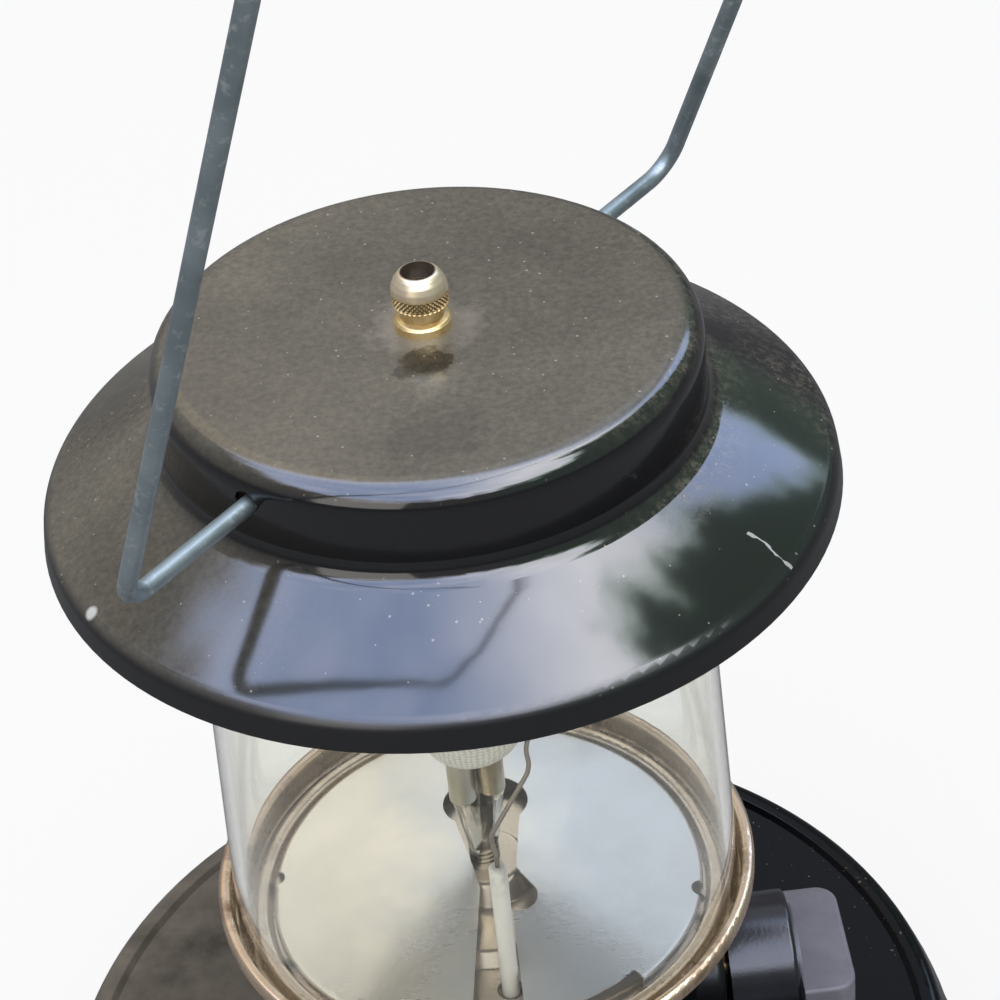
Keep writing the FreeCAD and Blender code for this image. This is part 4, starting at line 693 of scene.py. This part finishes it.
# grime rings the nut, apart from the painted reflection in front of it
outside_nut_reflection = add(tree, "Math", 1.0, front_patch, operation="SUBTRACT")
grime = patch(tree, where, (0, -0.001, crown_z), 12.0 * mm, 7.0 * mm, torn)
for share in (outside_nut_reflection, crown, 0.45):
    grime = add(tree, "Math", grime, share, operation="MULTIPLY")
coat = add(tree, "Mix", grime, coat, "a79f92", data_type="RGBA")
# single grains of dust, up to half a millimetre across, in some of the cells of a 2.4 mm lattice
cell = 1000 / 2.4
spacing = add(tree, "TexVoronoi", where, cell, out="Distance")
draw = add(tree, "SeparateColor", add(tree, "TexVoronoi", where, cell, out="Color"))
kept = add(tree, "MapRange", draw, 0.3, 0.9, 0.02, 0.11)
specks = add(tree, "Math", spacing, kept, operation="LESS_THAN")
for share in (upward, 0.5):
    specks = add(tree, "Math", specks, share, operation="MULTIPLY")
coat = add(tree, "Mix", specks, coat, "c9c3b6", data_type="RGBA")
# a drop of pale paint, and a scratch that runs 9 mm down the brim and wavers by a millimetre
drop = patch(tree, where, (-0.0683, -0.0367, 0.2062), 1.7 * mm, 1.0 * mm)
down = add(tree, "VectorMath", where, (0.805, -0.593, 0), operation="DOT_PRODUCT")
aside = add(tree, "VectorMath", where, (0.593, 0.805, 0), operation="DOT_PRODUCT")
waver = add(tree, "TexNoise", where, spots(4), 3, 0.6)
waver = add(tree, "MapRange", waver, 0.3, 0.7, -1.1 * mm, 1.1 * mm)
waver = add(tree, "Math", waver, aside, operation="ADD")
waver = add(tree, "Math", waver, operation="ABSOLUTE")
width = add(tree, "TexNoise", where, spots(1.5), 2)
width = add(tree, "MapRange", width, 0.35, 0.65, 0.05 * mm, 0.5 * mm)
scratch = add(tree, "Math", waver, width, operation="LESS_THAN")
from_middle = add(tree, "Math", down, 74 * mm, operation="SUBTRACT")
from_middle = add(tree, "Math", from_middle, operation="ABSOLUTE")
within = add(tree, "Math", from_middle, 4.6 * mm, operation="LESS_THAN")
for share in (within, 0.8):
    scratch = add(tree, "Math", scratch, share, operation="MULTIPLY")
bare = add(tree, "Math", drop, scratch, operation="MAXIMUM")
# handling has dulled the edge of the lip
rubbed = add(tree, "MapRange", outward, 76.8 * mm, 78.5 * mm, 0.0, 0.22)
shine = add(tree, "Math", add(tree, "MapRange", film, 0, 1, 0.09, 0.24), rubbed, operation="ADD")
shine = add(tree, "Math", shine, add(tree, "Math", bare, 0.5, operation="MULTIPLY"),
            operation="ADD")
# the brim is bowed: from a middle ring its height falls by the square of the distance, 0.24 mm in
# the first 9 mm, and it goes straight on from there
ring_r, half_width, wall_r = 67.5 * mm, 9 * mm, 53 * mm
inner_r, outer_r = ring_r - half_width, ring_r + half_width
bow = add(tree, "MapRange", outward, inner_r, outer_r, -1.0, 1.0)
bow = add(tree, "Math", bow, bow, operation="MULTIPLY")
past = add(tree, "Math", add(tree, "MapRange", outward, outer_r, outer_r + half_width),
           add(tree, "MapRange", outward, inner_r, wall_r, 0, 0.61), operation="ADD")
bow = add(tree, "Math", bow, add(tree, "Math", past, 2.0, operation="MULTIPLY"), operation="ADD")
bow = add(tree, "Math", bow, -0.24, operation="MULTIPLY")
# the fired enamel is slightly uneven, as an orange's peel is
peel = add(tree, "Math", add(tree, "TexNoise", where, spots(7), 2), 0.05, operation="MULTIPLY")
ripple = add(tree, "Math", add(tree, "TexNoise", where, spots(1.5), 2), 0.005,
             operation="MULTIPLY")
peel = add(tree, "Math", peel, ripple, operation="ADD")
feed(shader, Base_Color=add(tree, "Mix", bare, coat, "c3c2bd", data_type="RGBA"), Roughness=shine,
     Normal=add(tree, "Bump", Height=add(tree, "Math", bow, peel, operation="ADD"),
                Distance=1.0 * mm))
dress(enamel, "ventilator")


# Ball nut
# Turned brass: a flange, a neck, a diamond-knurled band for the fingers and a dome that has been
# rubbed pale. It screws down on the stud and stays open at the top.
low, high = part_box("ball_nut")
base = low.z
# its half section, in millimetres out from the axis and up from the flange
corners = np.array(((2.95, 0), (5.65, 0), (5.65, 1.6), (5.25, 2.0), (4.3, 2.4), (4.3, 4.6),
                    (5.6, 5.4), (5.6, 8.0), (5.45, 9.4), (4.95, 10.6), (4.3, 11.5), (3.75, 12.0),
                    (3.3, 12.2), (3.3, 8.6), (2.95, 8.6))) * mm
span = np.hypot(*np.diff(corners, axis=0, append=corners[:1]).T)
travel = np.concatenate(([0], np.cumsum(span)))
# its rows are 0.4 mm apart, and 0.09 mm on the knurled band, which is from corner 6 to corner 7
fine = np.arange(travel[6] - 0.3 * mm, travel[7] + 0.3 * mm, 0.09 * mm)
at = np.unique(np.concatenate((travel[:-1], np.arange(0, travel[-1], 0.4 * mm), fine)))
loop = np.vstack((corners, corners[:1]))
radius = np.interp(at, travel, loop[:, 0])[:, None]
height = np.interp(at, travel, loop[:, 1])[:, None]
columns, teeth, tooth_pitch, tooth_depth = 432, 36, 1.0 * mm, 0.40 * mm
turn = turning(columns)[None, :] / (2 * math.pi)
knurl_low, knurl_high = 5.3 * mm, 8.1 * mm
band = np.clip(np.minimum(height - knurl_low, knurl_high - height) / (0.25 * mm), 0, 1)
band = band * (radius > 5.0 * mm)
# the knurl's height is the lesser of two triangle waves that wind opposite ways; its teeth are
# about a third coarser than the real ones, so that they show
climb = height / tooth_pitch
knurl = np.minimum(saw(teeth * turn + climb), saw(teeth * turn - climb))
radius = radius - band * (1 - knurl) * tooth_depth
rubbed, tree, shader, where = finish("turned_and_knurled_brass", Metallic=0.65)
climb = add(tree, "SeparateXYZ", where, out="Z")
pale = add(tree, "MapRange", climb, crown_z + 7.8 * mm, crown_z + 8.7 * mm)
stain = add(tree, "MapRange", add(tree, "TexNoise", where, spots(2.5), 5, 0.65), 0.35, 0.7)
yellow = add(tree, "Mix", stain, "efd59c", "c4a266", data_type="RGBA")
cream = add(tree, "Mix", stain, "f6e6c8", "dac8a4", data_type="RGBA")
tone = add(tree, "Mix", pale, yellow, cream, data_type="RGBA")
# dirt lies in the knurl's grooves, and the bore is painted dark as painted shade
outward = off_axis(tree, where)
above = add(tree, "MapRange", climb, crown_z + knurl_low, crown_z + knurl_low + 0.4 * mm)
below = add(tree, "MapRange", climb, crown_z + 8.3 * mm, crown_z + 7.9 * mm)
groove = add(tree, "MapRange", outward, 5.52 * mm, 5.28 * mm)
for share in (below, above, 0.7):
    groove = add(tree, "Math", groove, share, operation="MULTIPLY")
painted_bore_shade = add(tree, "Math", add(tree, "MapRange", outward, 3.6 * mm, 3.4 * mm), 0.8,
           operation="MULTIPLY")
dirt_and_shade = add(tree, "Math", groove, painted_bore_shade, operation="MAXIMUM")
feed(shader, Base_Color=add(tree, "Mix", dirt_and_shade, tone, "4b3d36", data_type="RGBA"),
     Roughness=add(tree, "MapRange", stain, 0, 1, 0.26, 0.42))
nut = surface("knurled_ball_nut", ring_grid(radius, base + height + 0 * turn, columns),
              "ball_nut", rubbed, closed_rows=True)
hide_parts("ball_nut")


# Bail
# One length of zinc-plated steel wire, bent cold and hooked through the ventilator's wall. The
# zinc has gone a dull blue-grey, with paler rub marks.
zinc_wire, tree, shader, where = finish("weathered_zinc_plate", Metallic=0.6, IOR=1.5)
cloud = add(tree, "MapRange", add(tree, "TexNoise", where, spots(7), 5, 0.6), 0.35, 0.7)
blue_grey = add(tree, "Mix", cloud, "7f8c90", "9aa6aa", data_type="RGBA")
rub = add(tree, "MapRange", add(tree, "TexNoise", where, spots(1.3), 4, 0.7), 0.55, 0.7)
rub = add(tree, "Math", rub, 0.6, operation="MULTIPLY")
feed(shader, Base_Color=add(tree, "Mix", rub, blue_grey, "c9ced1", data_type="RGBA"),
     Roughness=add(tree, "MapRange", cloud, 0, 1, 0.34, 0.5),
     Normal=add(tree, "Bump", Height=add(tree, "TexNoise", where, spots(0.8), 3),
                Distance=0.03 * mm))
dress(zinc_wire, "bail")
